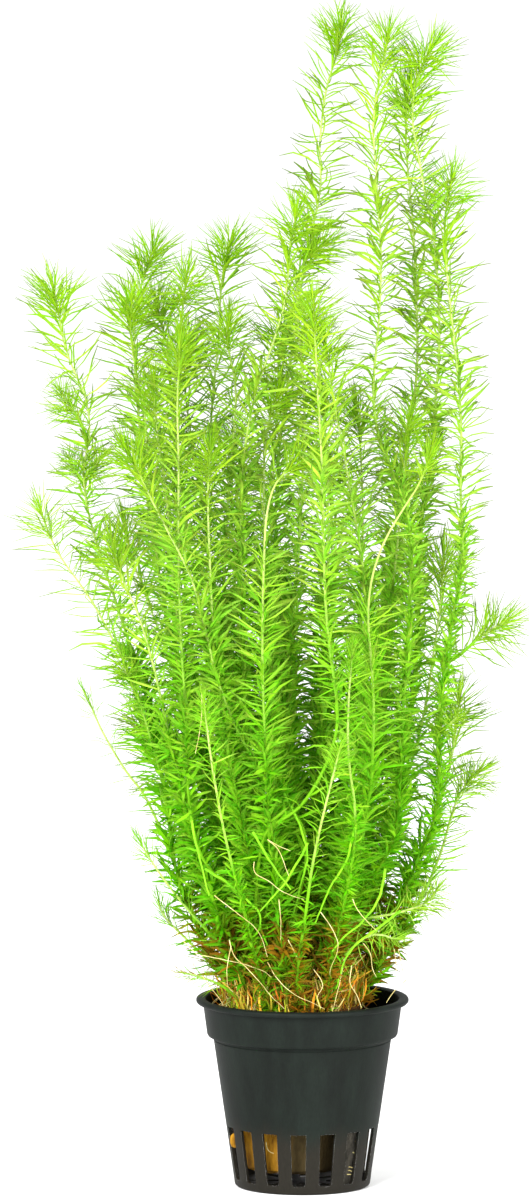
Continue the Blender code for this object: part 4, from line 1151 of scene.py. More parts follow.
@dataclass
class RockWoolPlug:
    """The plug of rock wool: a lumpy blunt cone of upright fibres, ragged at its foot.

    Its fibres are spread over side_area, in square metres, and are about fibre_length long. Where it swells
    out through a slot, the swelling's centre and radii are in mm.
    """

    foot: float = 4.4 * MM
    top: float = PLUG_TOP_HEIGHT
    foot_radius: float = 12.6 * MM
    top_radius: float = 18.4 * MM
    rings: int = 34
    sides: int = 110
    lump: float = 1.1 * MM
    fibres: int = 1500
    fibre_width: float = 0.15 * MM
    fibre_length: float = 3.6 * MM
    side_area: float = 0.0052
    swell_centre: tuple[float, float, float] = (-16.6, -5.9, 12.6)
    swell_radii: tuple[float, float, float] = (2.4, 1.3, 2.4)
    swell_turn: float = math.radians(19.4)

    def body(self) -> Mesh:
        """The cone before it is made lumpy.

        Returns:
            Its mesh.
        """
        profile = [(0.0, self.foot), (0.5 * self.foot_radius, self.foot),
                   (self.foot_radius - 1.2 * MM, self.foot)]
        for i in range(self.rings + 1):
            t = i / self.rings
            profile.append((self.foot_radius + (self.top_radius - self.foot_radius) * t,
                            self.foot + MM + (self.top - self.foot - 2 * MM) * t))
        profile += [(self.top_radius - 1.2 * MM, self.top), (0.5 * self.top_radius, self.top),
                    (0.0, self.top)]
        body = lathe("wool_body", profile, self.sides, centre=PLUG_CENTRE_X)
        # A tuft of wool swells out through the left-hand slot
        build = bmesh.new()
        build.from_mesh(body)
        where = Matrix.Translation(Vector(self.swell_centre) * MM) @ Matrix.Rotation(self.swell_turn, 4, "Z")
        where = where @ Matrix.Diagonal((*self.swell_radii, 1.0))
        bmesh.ops.create_icosphere(build, subdivisions=4, radius=MM, matrix=where)
        build.to_mesh(body)
        build.free()
        return body

    def tree(self) -> NodeTree:
        """The tree that makes the cone lumpy and lays fibres on it.

        Returns:
            The tree.
        """
        tree, given = new_tree("wool", {
            "Fibre density": self.fibres / self.side_area, "Lump": self.lump, "Seed": 3, "Wool": None})
        add = partial(add_node, tree)
        spot = add("InputPosition")
        drawn = add("VectorMath", [spot, (1.0, 1.0, 0.25)], "MULTIPLY")
        lumps = add("TexNoise", {"Vector": drawn, "Scale": 420.0, "Detail": 3.0})
        height = add("Math", [lumps, 0.7], "SUBTRACT")
        height = add("Math", [height, given["Lump"]], "MULTIPLY")
        normal = add("InputNormal")
        push = add("VectorMath", {0: normal, "Scale": height}, "SCALE")
        body = add("SetPosition", {"Geometry": given["Geometry"], "Offset": push})
        # Fibres run up the side: each is set on a face and lies almost along it
        points = add("DistributePointsOnFaces", {
            "Mesh": body, "Density": given["Fibre density"], "Seed": given["Seed"]})
        who = add("InputIndex")
        stray = add("RandomValue", {
            "Min": (-0.5, -0.5, -0.3), "Max": (0.5, 0.5, 0.3), "ID": who, "Seed": 1},
            data_type="FLOAT_VECTOR")
        heading = add("VectorMath", [stray, (0, 0, 1.0)], "ADD")
        lift = add("VectorMath", {0: points.outputs["Normal"], "Scale": 0.16}, "SCALE")
        heading = add("VectorMath", [heading, lift], "ADD")
        turn = add("AxesToRotation", [
            heading, points.outputs["Normal"]], primary_axis="Z", secondary_axis="X")
        length = add("RandomValue", {"Min": 2.0 * MM, "Max": 5.5 * MM, "ID": who, "Seed": 2})
        # Where the wool swells through a slot its fibres are short
        flat = add("VectorMath", [add("InputPosition"), (-PLUG_CENTRE_X, 0, 0)], "ADD")
        axes = add("SeparateXYZ", [flat])
        flat = add("VectorMath", [flat, (1, 1, 0)], "MULTIPLY")
        reach = add("VectorMath", [flat], "LENGTH").outputs["Value"]
        slope = (self.top_radius - self.foot_radius) / (self.top - self.foot)
        wall = add("Math", [axes.outputs[2], slope, self.foot_radius], "MULTIPLY_ADD")
        excess = add("Math", [reach, wall], "SUBTRACT")
        shrink = add("MapRange", [excess, 0.2 * MM, 0.9 * MM, 1.0, 0.22])
        length = add("Math", [length, shrink], "MULTIPLY")
        thickness = self.fibre_width / self.fibre_length
        shape = ((0.0, 1.0), (0.5, 1.0), (1.0, 0.5))
        kinds = [Blade(bow, bow, 0.1, 0.0, thickness, 0.03, 3, 3, shape).add(tree) for bow in (0.08, 0.2)]
        kinds = add("JoinGeometry", {"Geometry": kinds})
        fibres = add("InstanceOnPoints", {
            "Points": points, "Instance": kinds, "Pick Instance": True, "Instance Index": who,
            "Rotation": turn, "Scale": length})
        fibres = add("RealizeInstances", {"Geometry": fibres})
        whole = add("JoinGeometry", {"Geometry": [body, fibres]})
        whole = add("SetMaterial", {"Geometry": whole, "Material": given["Wool"]})
        add("NodeGroupOutput", [whole])
        return tree

    def build(self) -> Object:
        """Grow the plug.

        Returns:
            The plug, in place of its solid.
        """
        plug = grow("wool_plug", self.body(), self.tree(), {"Wool": WOOL_FIBRE.make()})
        return attach(plug, Slot.WOOL, "rock_wool_plug")


@dataclass
class RootFeltAndShade:
    """A ragged film of dirt and dead roots on the wall inside, behind the right-hand front slots, its dark
    partly painted shade.
    """

    start: float = math.radians(-57)
    end: float = math.radians(-21)
    foot: float = 1.8 * MM
    top: float = 20.0 * MM
    gap: float = 0.35 * MM
    thickness: float = 0.9 * MM
    ragged: float = 0.6 * MM
    pitting: float = 0.3 * MM
    columns: int = 60
    rows: int = 70

    def build(self) -> Object:
        """Make the film.

        Returns:
            The film, beside the wool.
        """
        build = bmesh.new()
        sheets = []
        for inner in (0.0, 1.0):
            sheet = []
            for i in range(self.columns + 1):
                for j in range(self.rows + 1):
                    across, high = i / self.columns, j / self.rows
                    rough = noise.noise(Vector((across * 9, high * 12, 4.0)))
                    angle = self.start + (self.end - self.start) * across
                    z = self.foot + (self.top - self.foot) * high + rough * self.ragged * high
                    fade = min(1.0, 6 * min(across, 1 - across, high, 1 - high) + 0.15)
                    radius = WALL_INSIDE * MM + z * WALL_SLOPE - self.gap
                    radius -= inner * self.thickness * fade * (1 + 0.8 * rough)
                    pit = abs(noise.noise(Vector((across * 40, high * 50, 1.0))))
                    radius -= (1 - inner) * self.pitting * pit
                    sheet.append(build.verts.new((radius * math.cos(angle), radius * math.sin(angle), z)))
            sheets.append(sheet)
        outer, inner_sheet = sheets
        step = self.rows + 1
        for i in range(self.columns):
            for j in range(self.rows):
                a = i * step + j
                build.faces.new([outer[k] for k in (a, a + step, a + step + 1, a + 1)])
                build.faces.new([inner_sheet[k] for k in (a, a + 1, a + step + 1, a + step)])
        edge = [i * step for i in range(self.columns)]
        edge += [self.columns * step + j for j in range(self.rows)]
        edge += [i * step + self.rows for i in range(self.columns, 0, -1)]
        edge += list(range(self.rows, 0, -1))
        for a, b in zip(edge, edge[1:] + edge[:1]):
            build.faces.new((outer[b], outer[a], inner_sheet[a], inner_sheet[b]))
        mesh = bpy.data.meshes.new("root_felt_and_shade")
        build.to_mesh(mesh)
        build.free()
        # The film's brown-black is partly dirt and roots, partly painted shade in the pot's dim inside
        mesh.materials.append(ROOT_FELT_AND_SHADE.make())
        return attach(place("root_felt_and_shade", mesh), Slot.WOOL)


@dataclass
class OldGrowth:
    """What is left of older leaves and stems on the plug: a dark heap stuck full of dead leaves and stubs.

    Its inside lies inset below the solid's surface. Leaves and stubs are spread over top_area, in square
    metres.
    """

    leaves: int = 4600
    stubs: int = 42
    inset: float = 1.6 * MM
    rings: int = 22
    sides: int = 90
    lump: float = 5.0 * MM
    top_area: float = 0.0019
    layout: StrandMap = field(default_factory=StrandMap)

    def heap(self) -> Mesh:
        """The heap's dark inside, a lumpy dome.

        Returns:
            Its mesh.
        """
        foot = PLUG_TOP_HEIGHT - 0.6 * MM
        profile = [(0.0, foot), (0.6 * MAT_RADIUS, foot), (MAT_RADIUS - 2.4 * MM, foot),
                   (MAT_RADIUS - 1.4 * MM, foot + 1.2 * MM)]
        for i in range(self.rings + 1):
            radius = (MAT_RADIUS - self.inset) * (1 - i / self.rings)
            profile.append((radius, mat_height(PLUG_CENTRE_X + radius, 0) - self.inset))
        return lathe("heap", profile, self.sides, centre=PLUG_CENTRE_X)

    def tree(self) -> NodeTree:
        """The tree that makes the heap lumpy and sticks dead leaves and stubs in it.

        Returns:
            The tree.
        """
        tree, given = new_tree("old_growth", {
            "Leaves": self.leaves, "Stubs": self.stubs, "Seed": 5, "Mould": None, "Dead leaf": None})
        add = partial(add_node, tree)
        spot = add("InputPosition")
        lumps = add("TexNoise", {"Vector": spot, "Scale": 260.0, "Detail": 3.0})
        height = add("Math", [lumps, 0.5], "SUBTRACT")
        height = add("Math", [height, self.lump], "MULTIPLY")
        push = add("VectorMath", {0: add("InputNormal"), "Scale": height}, "SCALE")
        body = add("SetPosition", {"Geometry": given["Geometry"], "Offset": push})
        mould = add("SetMaterial", {"Geometry": body, "Material": given["Mould"]})
        across = add("SeparateXYZ", [add("InputPosition")])
        spare = add("MapRange", [across.outputs[2], 0.0, 0.1, 0.02, 0.98])
        spare = add("CombineXYZ", [spare, spare])
        mould = add("StoreNamedAttribute", {
            "Geometry": mould, "Name": UV_MAP, "Value": spare}, data_type="FLOAT2", domain="CORNER")
        parts = [mould]
        near_rim = (0.6 * MAT_RADIUS, MAT_RADIUS)
        upper = add("SeparateXYZ", [add("InputNormal")])
        upper = add("Compare", {"A": upper.outputs[2], "B": 0.0}, "GREATER_THAN")
        for count, seed, low, high, upward, kinds in (
                ("Leaves", 0, 3.5 * MM, 11.5 * MM, 0.3,
                 (Blade(0.08, 0.06, 0.1, 0.6, 0.05, steps=3), Blade(0.2, 0.14, -0.08, -0.5, 0.09, steps=3),
                  Blade(0.34, 0.26, 0.1, 0.4, 0.07, steps=4), Blade(-0.1, 0.16, 0.05, 1.0, 0.12, steps=3),
                  Blade(0.14, -0.16, 0.16, 0.8, 0.05, steps=3))),
                ("Stubs", 50, 6.0 * MM, 15.0 * MM, 1.1,
                 (Blade(0.06, 0.05, 0.04, 0.0, 1.0, 0.9, 5, 7, ((0.0, 1.1), (0.7, 0.9), (1.0, 0.75))),
                  Blade(-0.07, 0.06, 0.0, 0.0, 1.0, 0.9, 5, 7, ((0.0, 1.0), (0.7, 0.85), (1.0, 0.6)))))):
            density = add("Math", [given[count], self.top_area], "DIVIDE")
            points = add("DistributePointsOnFaces", {
                "Mesh": body, "Selection": upper, "Density": density, "Seed": seed})
            index = add("InputIndex")
            who = add("Math", [index, given["Seed"]], "ADD")
            age = add("RandomValue", {"Min": 0.0, "Max": 1.0, "ID": who, "Seed": seed + 1})
            # Rust-brown hues gather in clumps, olive and straw lie between them
            clump = add("TexNoise", {"Vector": add("InputPosition"), "Scale": 170.0, "Detail": 1.0})
            age = add("Math", [age, clump], "ADD")
            age = add("Math", [age, 0.5], "SUBTRACT")
            age = add("Clamp", [age, 0.0, 0.98])
            marked = self.layout.mark(tree, points, age, who)
            stray = add("RandomValue", {
                "Min": (-1.0, -1.0, -0.6), "Max": (1.0, 1.0, 0.8), "ID": who, "Seed": seed + 2},
                data_type="FLOAT_VECTOR")
            outward = add("VectorMath", {0: points.outputs["Normal"], "Scale": 0.5}, "SCALE")
            heading = add("VectorMath", [stray, outward], "ADD")
            # Near the rim they lean inwards and are shorter, so that they stay inside the wall
            flat = add("VectorMath", [add("InputPosition"), (-PLUG_CENTRE_X, 0, 0)], "ADD")
            flat = add("VectorMath", [flat, (1, 1, 0)], "MULTIPLY")
            reach = add("VectorMath", [flat], "LENGTH").outputs["Value"]
            steep = add("MapRange", [reach, *near_rim, upward, upward + 0.9])
            steep = add("CombineXYZ", {2: steep})
            inwards = add("MapRange", [reach, *near_rim, 0.0, -1.0 / MAT_RADIUS])
            inwards = add("VectorMath", {0: flat, "Scale": inwards}, "SCALE")
            steep = add("VectorMath", [steep, inwards], "ADD")
            heading = add("VectorMath", [heading, steep], "ADD")
            turn = add("AxesToRotation", [heading, stray], primary_axis="Z", secondary_axis="X")
            length = add("RandomValue", {"Min": low, "Max": high, "ID": who, "Seed": seed + 3})
            shrink = add("MapRange", [reach, *near_rim, 1.0, 0.7])
            length = add("Math", [length, shrink], "MULTIPLY")
            size = length
            if count == "Stubs":
                broad = add("RandomValue", {"Min": 0.7 * MM, "Max": 1.3 * MM, "ID": who, "Seed": seed + 4})
                size = add("CombineXYZ", [broad, broad, length])
            joined = add("JoinGeometry", {"Geometry": [kind.add(tree) for kind in kinds]})
            strands = add("InstanceOnPoints", {
                "Points": marked, "Instance": joined, "Pick Instance": True, "Instance Index": who,
                "Rotation": turn, "Scale": size})
            strands = add("RealizeInstances", {"Geometry": strands})
            strands = self.layout.lay(tree, strands)
            parts.append(add("SetMaterial", {"Geometry": strands, "Material": given["Dead leaf"]}))
        whole = add("JoinGeometry", {"Geometry": parts})
        add("NodeGroupOutput", [whole])
        return tree

    def build(self) -> Object:
        """Grow the heap.

        Returns:
            The heap, in place of its solid.
        """
        heap = grow("old_growth_heap", self.heap(), self.tree(), {
            "Mould": LEAF_MOULD.make(), "Dead leaf": DeadLeaf().make()})
        return attach(heap, Slot.OLD, "root_mat")


@dataclass
class Roots:
    """The thin lines: loose pale roots over the leaves, a web of others on the heap, bare lime stems."""

    radius: float = 0.105 * MM
    step: float = 0.7 * MM
    web_count: int = 70
    wiggle: float = 0.5 * MM
    web_wiggle: float = 1.6 * MM
    stem_radius: float = 0.32 * MM
    stem_wiggle: float = 0.8 * MM
    seed: int = 11

    def tree(self) -> NodeTree:
        """The tree that turns lines into roots that wander a little and thin out.

        Returns:
            The tree.
        """
        tree, given = new_tree("root", {"Radius": self.radius, "Wiggle": self.wiggle, "Skin": None})
        add = partial(add_node, tree)
        line = add("MeshToCurve", {"Mesh": given["Geometry"]})
        line = add("CurveSplineType", {"Curve": line}, spline_type="CATMULL_ROM")
        line = add("ResampleCurve", {"Curve": line, "Length": self.step}, mode="LENGTH")
        bend = add("TexNoise", {"Vector": add("InputPosition"), "Scale": 240.0, "Detail": 1.0})
        bend = add("VectorMath", [bend.outputs["Color"], (0.5, 0.5, 0.5)], "SUBTRACT")
        bend = add("VectorMath", {0: bend, "Scale": given["Wiggle"]}, "SCALE")
        line = add("SetPosition", {"Geometry": line, "Offset": bend})
        at = add("SplineParameter").outputs["Factor"]
        taper = add("MapRange", [at, 0.0, 1.0, 1.1, 0.55])
        rim = add("CurvePrimitiveCircle", {"Resolution": 6, "Radius": given["Radius"]})
        tube = add("CurveToMesh", {"Curve": line, "Profile Curve": rim, "Scale": taper, "Fill Caps": True})
        tube = add("SetMaterial", {"Geometry": tube, "Material": given["Skin"]})
        add("NodeGroupOutput", [tube])
        return tree

    def web(self) -> list[list[Vector]]:
        """Lines that wander down over the heap from its crown to the pot's rim.

        Returns:
            Their points.
        """
        chance = random.Random(self.seed)
        lines = []
        for _ in range(self.web_count):
            angle = chance.uniform(0, math.tau)
            reach = chance.uniform(0.25, 0.8) * MAT_RADIUS
            lift = chance.uniform(1.0, 4.0) * MM
            line = []
            for _ in range(chance.randint(5, 9)):
                x = PLUG_CENTRE_X + reach * math.cos(angle)
                y = reach * math.sin(angle)
                line.append(Vector((x, y, mat_height(x, y) + lift)))
                angle += chance.uniform(-0.28, 0.28)
                reach = min(reach + chance.uniform(0.0, 0.16) * MAT_RADIUS, 1.12 * MAT_RADIUS)
                lift = max(lift - chance.uniform(0.2, 1.2) * MM, -0.5 * MM)
            lines.append(line)
        return lines

    def build(self) -> list[Object]:
        """Grow the loose roots, the bare stems and the web.

        Returns:
            The three pieces.
        """
        tree = self.tree()
        skin = ROOT_SKIN.make()
        loose, stems = ([[sight(x, z, foot + (tip - foot) * i / (len(points) - 1))
                          for i, (x, z) in enumerate(points)] for (foot, tip), points in table]
                        for table in (LOOSE_ROOTS, BARE_STEMS))
        pieces = [grow("loose_roots", lines_mesh("loose", loose), tree, {"Skin": skin}),
                  grow("bare_stems", lines_mesh("stems", stems), tree, {
                      "Skin": STEM_SKIN.make(), "Radius": self.stem_radius, "Wiggle": self.stem_wiggle}),
                  grow("root_web", lines_mesh("web", self.web()), tree, {
                      "Skin": skin, "Wiggle": self.web_wiggle})]
        return [attach(piece, Slot.OLD) for piece in pieces]


@dataclass
class Bush:
    """The shoots: stems on their routes with leaves set round them by Geometry Nodes.

    From a shoot's growing point down come a tuft of close leaves, open leaves and densely set short ones.

    Attributes:
        tuft_leaves: How many leaves the tuft has.
        tuft_pitch: How far apart they stand along the stem; the other pitches likewise.
        tuft_length: How long they are; the other lengths likewise.
        tuft_shares: How wide and how thick they are, as shares of their length; the other shares likewise.
        near_leaves: How many of the open leaves, those next below the tuft, are wider and further apart.
        axis_step: How closely the stem's axis is drawn.
        jitter: How far a leaf stands off its even place along the stem.
        crown: How far below a shoot's top its growing point lies.
        bare_foot: How much of a shoot's foot has no leaves.
        turn: The angle round the stem from one leaf to the next.
        slant_apex: How far a leaf stands off the stem at the growing point; the other slants likewise.
        slant_jitter: How far each leaf's slant strays.
        clump_reach: How far out from the stem the noise is read that gathers leaves in clumps.
        clump_scale: How many clumps there are in a metre.
        clump_swing: How far clumps change the slant.
        opening: From where to where, down from the growing point, leaves open out.
        sinking: The same for their sinking to their last slant.
        growing: The same for their growth in length.
        waning: The same for their getting shorter again.
        ripening: The same for their ageing.
        turning_dense: How many leaves before and after the dense stretch begins they blend into it.
        old_to_young: The heights between which leaves go from old to young.
        dying: The heights between which ever fewer leaves are dead.
        stem_radius: The stem's radius at its foot.
        tissue: What leaves and stem are made of.
    """

    tuft_leaves: int = 108
    tuft_pitch: float = 0.0815 * MM
    tuft_length: float = 8.0 * MM
    near_leaves: int = 72
    near_pitch: float = 0.46 * MM
    open_pitch: float = 0.31 * MM
    open_length: float = 12.5 * MM
    far_length: float = 9.0 * MM
    dense_pitch: float = 0.14 * MM
    dense_length: float = 7.6 * MM
    tuft_shares: tuple[float, float] = (0.15, 0.05)
    near_shares: tuple[float, float] = (0.094, 0.036)
    open_shares: tuple[float, float] = (0.054, 0.036)
    dense_shares: tuple[float, float] = (0.033, 0.03)
    axis_step: float = 2.4 * MM
    jitter: float = 0.5 * MM
    clump_reach: float = 5.0 * MM
    crown: float = 7.0 * MM
    bare_foot: float = 7.0 * MM
    turn: float = math.radians(137.5)
    slant_apex: float = math.radians(16)
    slant_open: float = math.radians(60)
    slant_far: float = math.radians(70)
    slant_dense: float = math.radians(60)
    slant_jitter: float = math.radians(19)
    clump_scale: float = 110.0
    stem_radius: float = 0.38 * MM
    clump_swing: float = 0.35
    opening: tuple[float, float] = (0.3 * MM, 4.0 * MM)
    sinking: tuple[float, float] = (8.0 * MM, 62.0 * MM)
    growing: tuple[float, float] = (0.0, 5.0 * MM)
    waning: tuple[float, float] = (12.0 * MM, 75.0 * MM)
    ripening: tuple[float, float] = (4.0 * MM, 45.0 * MM)
    turning_dense: tuple[float, float] = (-18.0, 24.0)
    old_to_young: tuple[float, float] = (70.0 * MM, 240.0 * MM)
    dying: tuple[float, float] = (51.0 * MM, 78.0 * MM)
    tissue: GreenTissue = field(default_factory=GreenTissue)

    def tree(self) -> NodeTree:
        """The tree that turns a shoot's axis into its stem and leaves.

        Returns:
            The tree.
        """
        tree, given = new_tree("leafy_shoot", {
            "Leaves": 100, "Open leaves": 50, "Seed": 1, "Dense length": self.dense_length, "Leaf scale": 1.0,
            "Bare middle": 0.0, "Bare half": 0.0, "Shed share": 0.0, "Least age": 0.0, "Tissue": None})
        add = partial(add_node, tree)
        axis = add("MeshToCurve", {"Mesh": given["Geometry"]})
        axis = add("CurveSplineType", {"Curve": axis}, spline_type="CATMULL_ROM")
        axis = add("ResampleCurve", {"Curve": axis, "Length": self.axis_step}, mode="LENGTH")
        index = add("InputIndex")
        # Each shoot starts its leaves' numbers elsewhere, so that no two shoots look alike
        who = add("Math", [given["Seed"], 997.0, index], "MULTIPLY_ADD")

        # How far down from the growing point each leaf stands
        tuft = add("Math", [index, self.tuft_leaves], "MINIMUM")
        past_tuft = add("Math", [index, self.tuft_leaves], "SUBTRACT")
        past_tuft = add("Math", [past_tuft, 0.0], "MAXIMUM")
        near = add("Math", [past_tuft, self.near_leaves], "MINIMUM")
        opened = add("Math", [past_tuft, given["Open leaves"]], "MINIMUM")
        opened = add("Math", [opened, near], "SUBTRACT")
        opened = add("Math", [opened, 0.0], "MAXIMUM")
        to_dense = add("Math", [past_tuft, given["Open leaves"]], "SUBTRACT")
        dense = add("Math", [to_dense, 0.0], "MAXIMUM")
        down = add("RandomValue", {"Min": -self.jitter, "Max": self.jitter, "ID": who, "Seed": 1})
        for count, pitch in (
                (tuft, self.tuft_pitch), (near, self.near_pitch), (opened, self.open_pitch),
                (dense, self.dense_pitch)):
            down = add("Math", [count, pitch, down], "MULTIPLY_ADD")
        down = add("Math", [down, 0.0], "MAXIMUM")
        length = add("CurveLength", {"Curve": axis})
        up = add("Math", [length, down], "SUBTRACT")
        sample = add("SampleCurve", {"Curves": axis, "Length": up}, mode="LENGTH")
        tangent = sample.outputs["Tangent"]

        # Its slant from the stem: upright at the growing point, then out, then nearly level
        is_dense = add("MapRange", [
            to_dense, *self.turning_dense, 0.0, 1.0], interpolation_type="SMOOTHSTEP")
        opening = add("MapRange", [down, *self.opening, self.slant_apex, self.slant_open])
        further = add("MapRange", [down, *self.sinking, 0.0, self.slant_far - self.slant_open])
        slant = add("Math", [opening, further], "ADD")
        slant = add("Mix", {"Factor": is_dense, "A": slant, "B": self.slant_dense})
        lean = add("RandomValue", {
            "Min": -self.slant_jitter, "Max": self.slant_jitter, "ID": who, "Seed": 2})
        loose = add("MapRange", [is_dense, 0.0, 1.0, 1.0, 2.0])
        lean = add("Math", [lean, loose], "MULTIPLY")
        slant = add("Math", [slant, lean], "ADD")
        stray = add("RandomValue", {"Min": -0.7, "Max": 0.7, "ID": who, "Seed": 3})
        stray = add("Math", [stray, loose], "MULTIPLY")
        turn = add("Math", [index, self.turn, stray], "MULTIPLY_ADD")
        out = add("VectorRotate", {"Vector": sample.outputs["Normal"], "Axis": tangent, "Angle": turn})
        # Neighbours on one side lean and grow alike, which leaves gaps between clumps
        beside = add("VectorMath", {0: out, "Scale": self.clump_reach}, "SCALE")
        beside = add("VectorMath", [beside, sample.outputs["Position"]], "ADD")
        clump = add("TexNoise", {"Vector": beside, "Scale": self.clump_scale, "Detail": 1.0})
        swing = add("MapRange", [clump, 0.3, 0.7, -self.clump_swing, self.clump_swing])
        slant = add("Math", [slant, swing], "ADD")
        slant = add("Math", [slant, 0.03], "MAXIMUM")
        sine = add("Math", [slant], "SINE")
        cosine = add("Math", [slant], "COSINE")
        sideways = add("VectorMath", {0: out, "Scale": sine}, "SCALE")
        upwards = add("VectorMath", {0: tangent, "Scale": cosine}, "SCALE")
        heading = add("VectorMath", [sideways, upwards], "ADD")
        roll = add("RandomValue", {
            "Min": (-0.8,) * 3, "Max": (0.8,) * 3, "ID": who, "Seed": 4}, data_type="FLOAT_VECTOR")
        inner = add("VectorMath", [tangent, roll], "ADD")
        rotation = add("AxesToRotation", [heading, inner], primary_axis="Z", secondary_axis="X")

        # Its size: short at the growing point, longest just below the tuft, shorter again further down
        size = add("MapRange", [down, *self.growing, self.tuft_length, self.open_length])
        waning = add("MapRange", [down, *self.waning, 0.0, self.far_length - self.open_length])
        size = add("Math", [size, waning], "ADD")
        size = add("Mix", {"Factor": is_dense, "A": size, "B": given["Dense length"]})
        vary = add("RandomValue", {"Min": 0.7, "Max": 1.08, "ID": who, "Seed": 5})
        size = add("Math", [size, vary], "MULTIPLY")
        grown = add("MapRange", [clump, 0.3, 0.7, 1.1, 0.86])
        size = add("Math", [size, grown], "MULTIPLY")
        size = add("Math", [size, given["Leaf scale"]], "MULTIPLY")

        points = add("Points", {"Count": given["Leaves"], "Position": sample.outputs["Position"]})
        points = self.tissue.layout.mark(tree, points, self.age(tree, given, sample, down, who), who)
        points = self.strip(tree, given, points, sample, who)
        kinds = [Blade(*form, *shares, steps).add(tree) for shares, steps in (
            (self.tuft_shares, 3), (self.near_shares, 3), (self.open_shares, 3), (self.dense_shares, 2))
            for form in LEAF_FORMS]
        kinds = add("JoinGeometry", {"Geometry": kinds})
        pick = add("RandomValue", {
            "Min": 0, "Max": len(LEAF_FORMS) - 1, "ID": who, "Seed": 6}, data_type="INT")
        in_tuft = self.tuft_leaves * self.tuft_pitch
        for measure, bound in ((down, in_tuft), (down, in_tuft + self.near_leaves * self.near_pitch),
                               (is_dense, 0.5)):
            past = add("Math", [measure, bound], "GREATER_THAN")
            pick = add("Math", [past, len(LEAF_FORMS), pick], "MULTIPLY_ADD")
        leaves = add("InstanceOnPoints", {
            "Points": points, "Instance": kinds, "Pick Instance": True, "Instance Index": pick,
            "Rotation": rotation, "Scale": size})
        leaves = add("RealizeInstances", {"Geometry": leaves})
        leaves = self.tissue.layout.lay(tree, leaves)
        whole = add("JoinGeometry", {"Geometry": [self.stem(tree, axis), leaves]})
        whole = add("SetMaterial", {"Geometry": whole, "Material": given["Tissue"]})
        add("NodeGroupOutput", [whole])
        return tree

    def strip(self, tree: NodeTree, given: dict, points: Node, sample: Node, who: Node) -> Node:
        """Take most leaves away where a stem has shed them.

        Args:
            tree: The tree to add to.
            given: The tree's inputs.
            points: The leaves' points.
            sample: The axis sampled at each leaf.
            who: Each leaf's number.

        Returns:
            The points left.
        """
        add = partial(add_node, tree)
        height = add("SeparateXYZ", [sample.outputs["Position"]]).outputs[2]
        away = add("Math", [height, given["Bare middle"]], "SUBTRACT")
        away = add("Math", [away], "ABSOLUTE")
        away = add("Math", [away, given["Bare half"]], "SUBTRACT")
        risk = add("MapRange", [away, -4 * MM, 0.0, 0.93, 0.0])
        risk = add("Math", [risk, given["Shed share"]], "MAXIMUM")
        luck = add("RandomValue", {"Min": 0.0, "Max": 1.0, "ID": who, "Seed": 12})
        shed = add("Compare", {"A": luck, "B": risk}, "LESS_THAN")
        return add("DeleteGeometry", {"Geometry": points, "Selection": shed}, domain="POINT")

    def stem(self, tree: NodeTree, axis: Node) -> Node:
        """The stem's tube along the axis, thinner towards its tip, on the lowest rows of the map.

        Args:
            tree: The tree to add to.
            axis: The axis curve.

        Returns:
            The tube.
        """
        add = partial(add_node, tree)
        at = add("SplineParameter").outputs["Factor"]
        line = add("StoreNamedAttribute", {"Geometry": axis, "Name": "along", "Value": at})
        rim = add("CurvePrimitiveCircle", {"Resolution": 6, "Radius": self.stem_radius})
        rim = add("StoreNamedAttribute", {"Geometry": rim, "Name": "across", "Value": at})
        taper = add("MapRange", [at, 0.35, 1.0, 1.1, 0.6])
        tube = add("CurveToMesh", {"Curve": line, "Profile Curve": rim, "Scale": taper, "Fill Caps": True})
        along = add("InputNamedAttribute", {"Name": "along"})
        across = add("InputNamedAttribute", {"Name": "across"})
        row = add("MapRange", [across, 0.0, 1.0, 0.005, self.tissue.stem_rows - 0.01])
        spot = add("CombineXYZ", [along, row])
        return add("StoreNamedAttribute", {
            "Geometry": tube, "Name": UV_MAP, "Value": spot}, data_type="FLOAT2", domain="CORNER")

    def age(self, tree: NodeTree, given: dict, sample: Node, down: Node, who: Node) -> Node:
        """Each leaf's age: young at the tips and high up, old and browning near the pot.

        Args:
            tree: The tree to add to.
            given: The tree's inputs.
            sample: The axis sampled at each leaf.
            down: Each leaf's distance from the growing point.
            who: Each leaf's number.

        Returns:
            The age from 0 to 1.
        """
        add = partial(add_node, tree)
        height = add("SeparateXYZ", [sample.outputs["Position"]]).outputs[2]
        age = add("MapRange", [height, *self.old_to_young, 0.68, 0.2])
        ripe = add("MapRange", [down, *self.ripening, 0.3, 1.0], interpolation_type="SMOOTHSTEP")
        age = add("Math", [age, ripe], "MULTIPLY")
        age = add("Math", [age, given["Least age"]], "MAXIMUM")
        vary = add("RandomValue", {"Min": -0.1, "Max": 0.1, "ID": who, "Seed": 7})
        age = add("Math", [age, vary], "ADD")
        dying = add("MapRange", [height, *self.dying, 0.7, 0.0])
        patch = add("TexNoise", {"Vector": sample.outputs["Position"], "Scale": 90.0, "Detail": 1.0})
        patch = add("MapRange", [patch, 0.38, 0.62, 0.3, 1.3])
        dying = add("Math", [dying, patch], "MULTIPLY")
        doom = add("RandomValue", {"Min": 0.0, "Max": 1.0, "ID": who, "Seed": 8})
        age = add("Math", [doom, dying, age], "MULTIPLY_ADD")
        return add("Clamp", [age, 0.0, 0.97])

    def routes(self) -> dict[str, tuple[list[Vector], float]]:
        """Each shoot's axis, and the share of it that is densely leaved.

        Returns:
            Both by the shoot's name.
        """
        main = spread({name: smooth(read_route(depth, points), SAMPLE_STEP)
                       for name, (depth, share, points) in SHOOTS.items()})
        found = {name: (route, SHOOTS[name][1]) for name, route in main.items()}
        for name, (parent, height, steps) in SIDE_SHOOTS.items():
            fork = min(main[parent], key=lambda p: abs(p.z - height * MM))
            route = smooth([fork] + [fork + Vector(step) * MM for step in steps], SAMPLE_STEP / 3)
            found[name] = (route, 0.0)
        return found

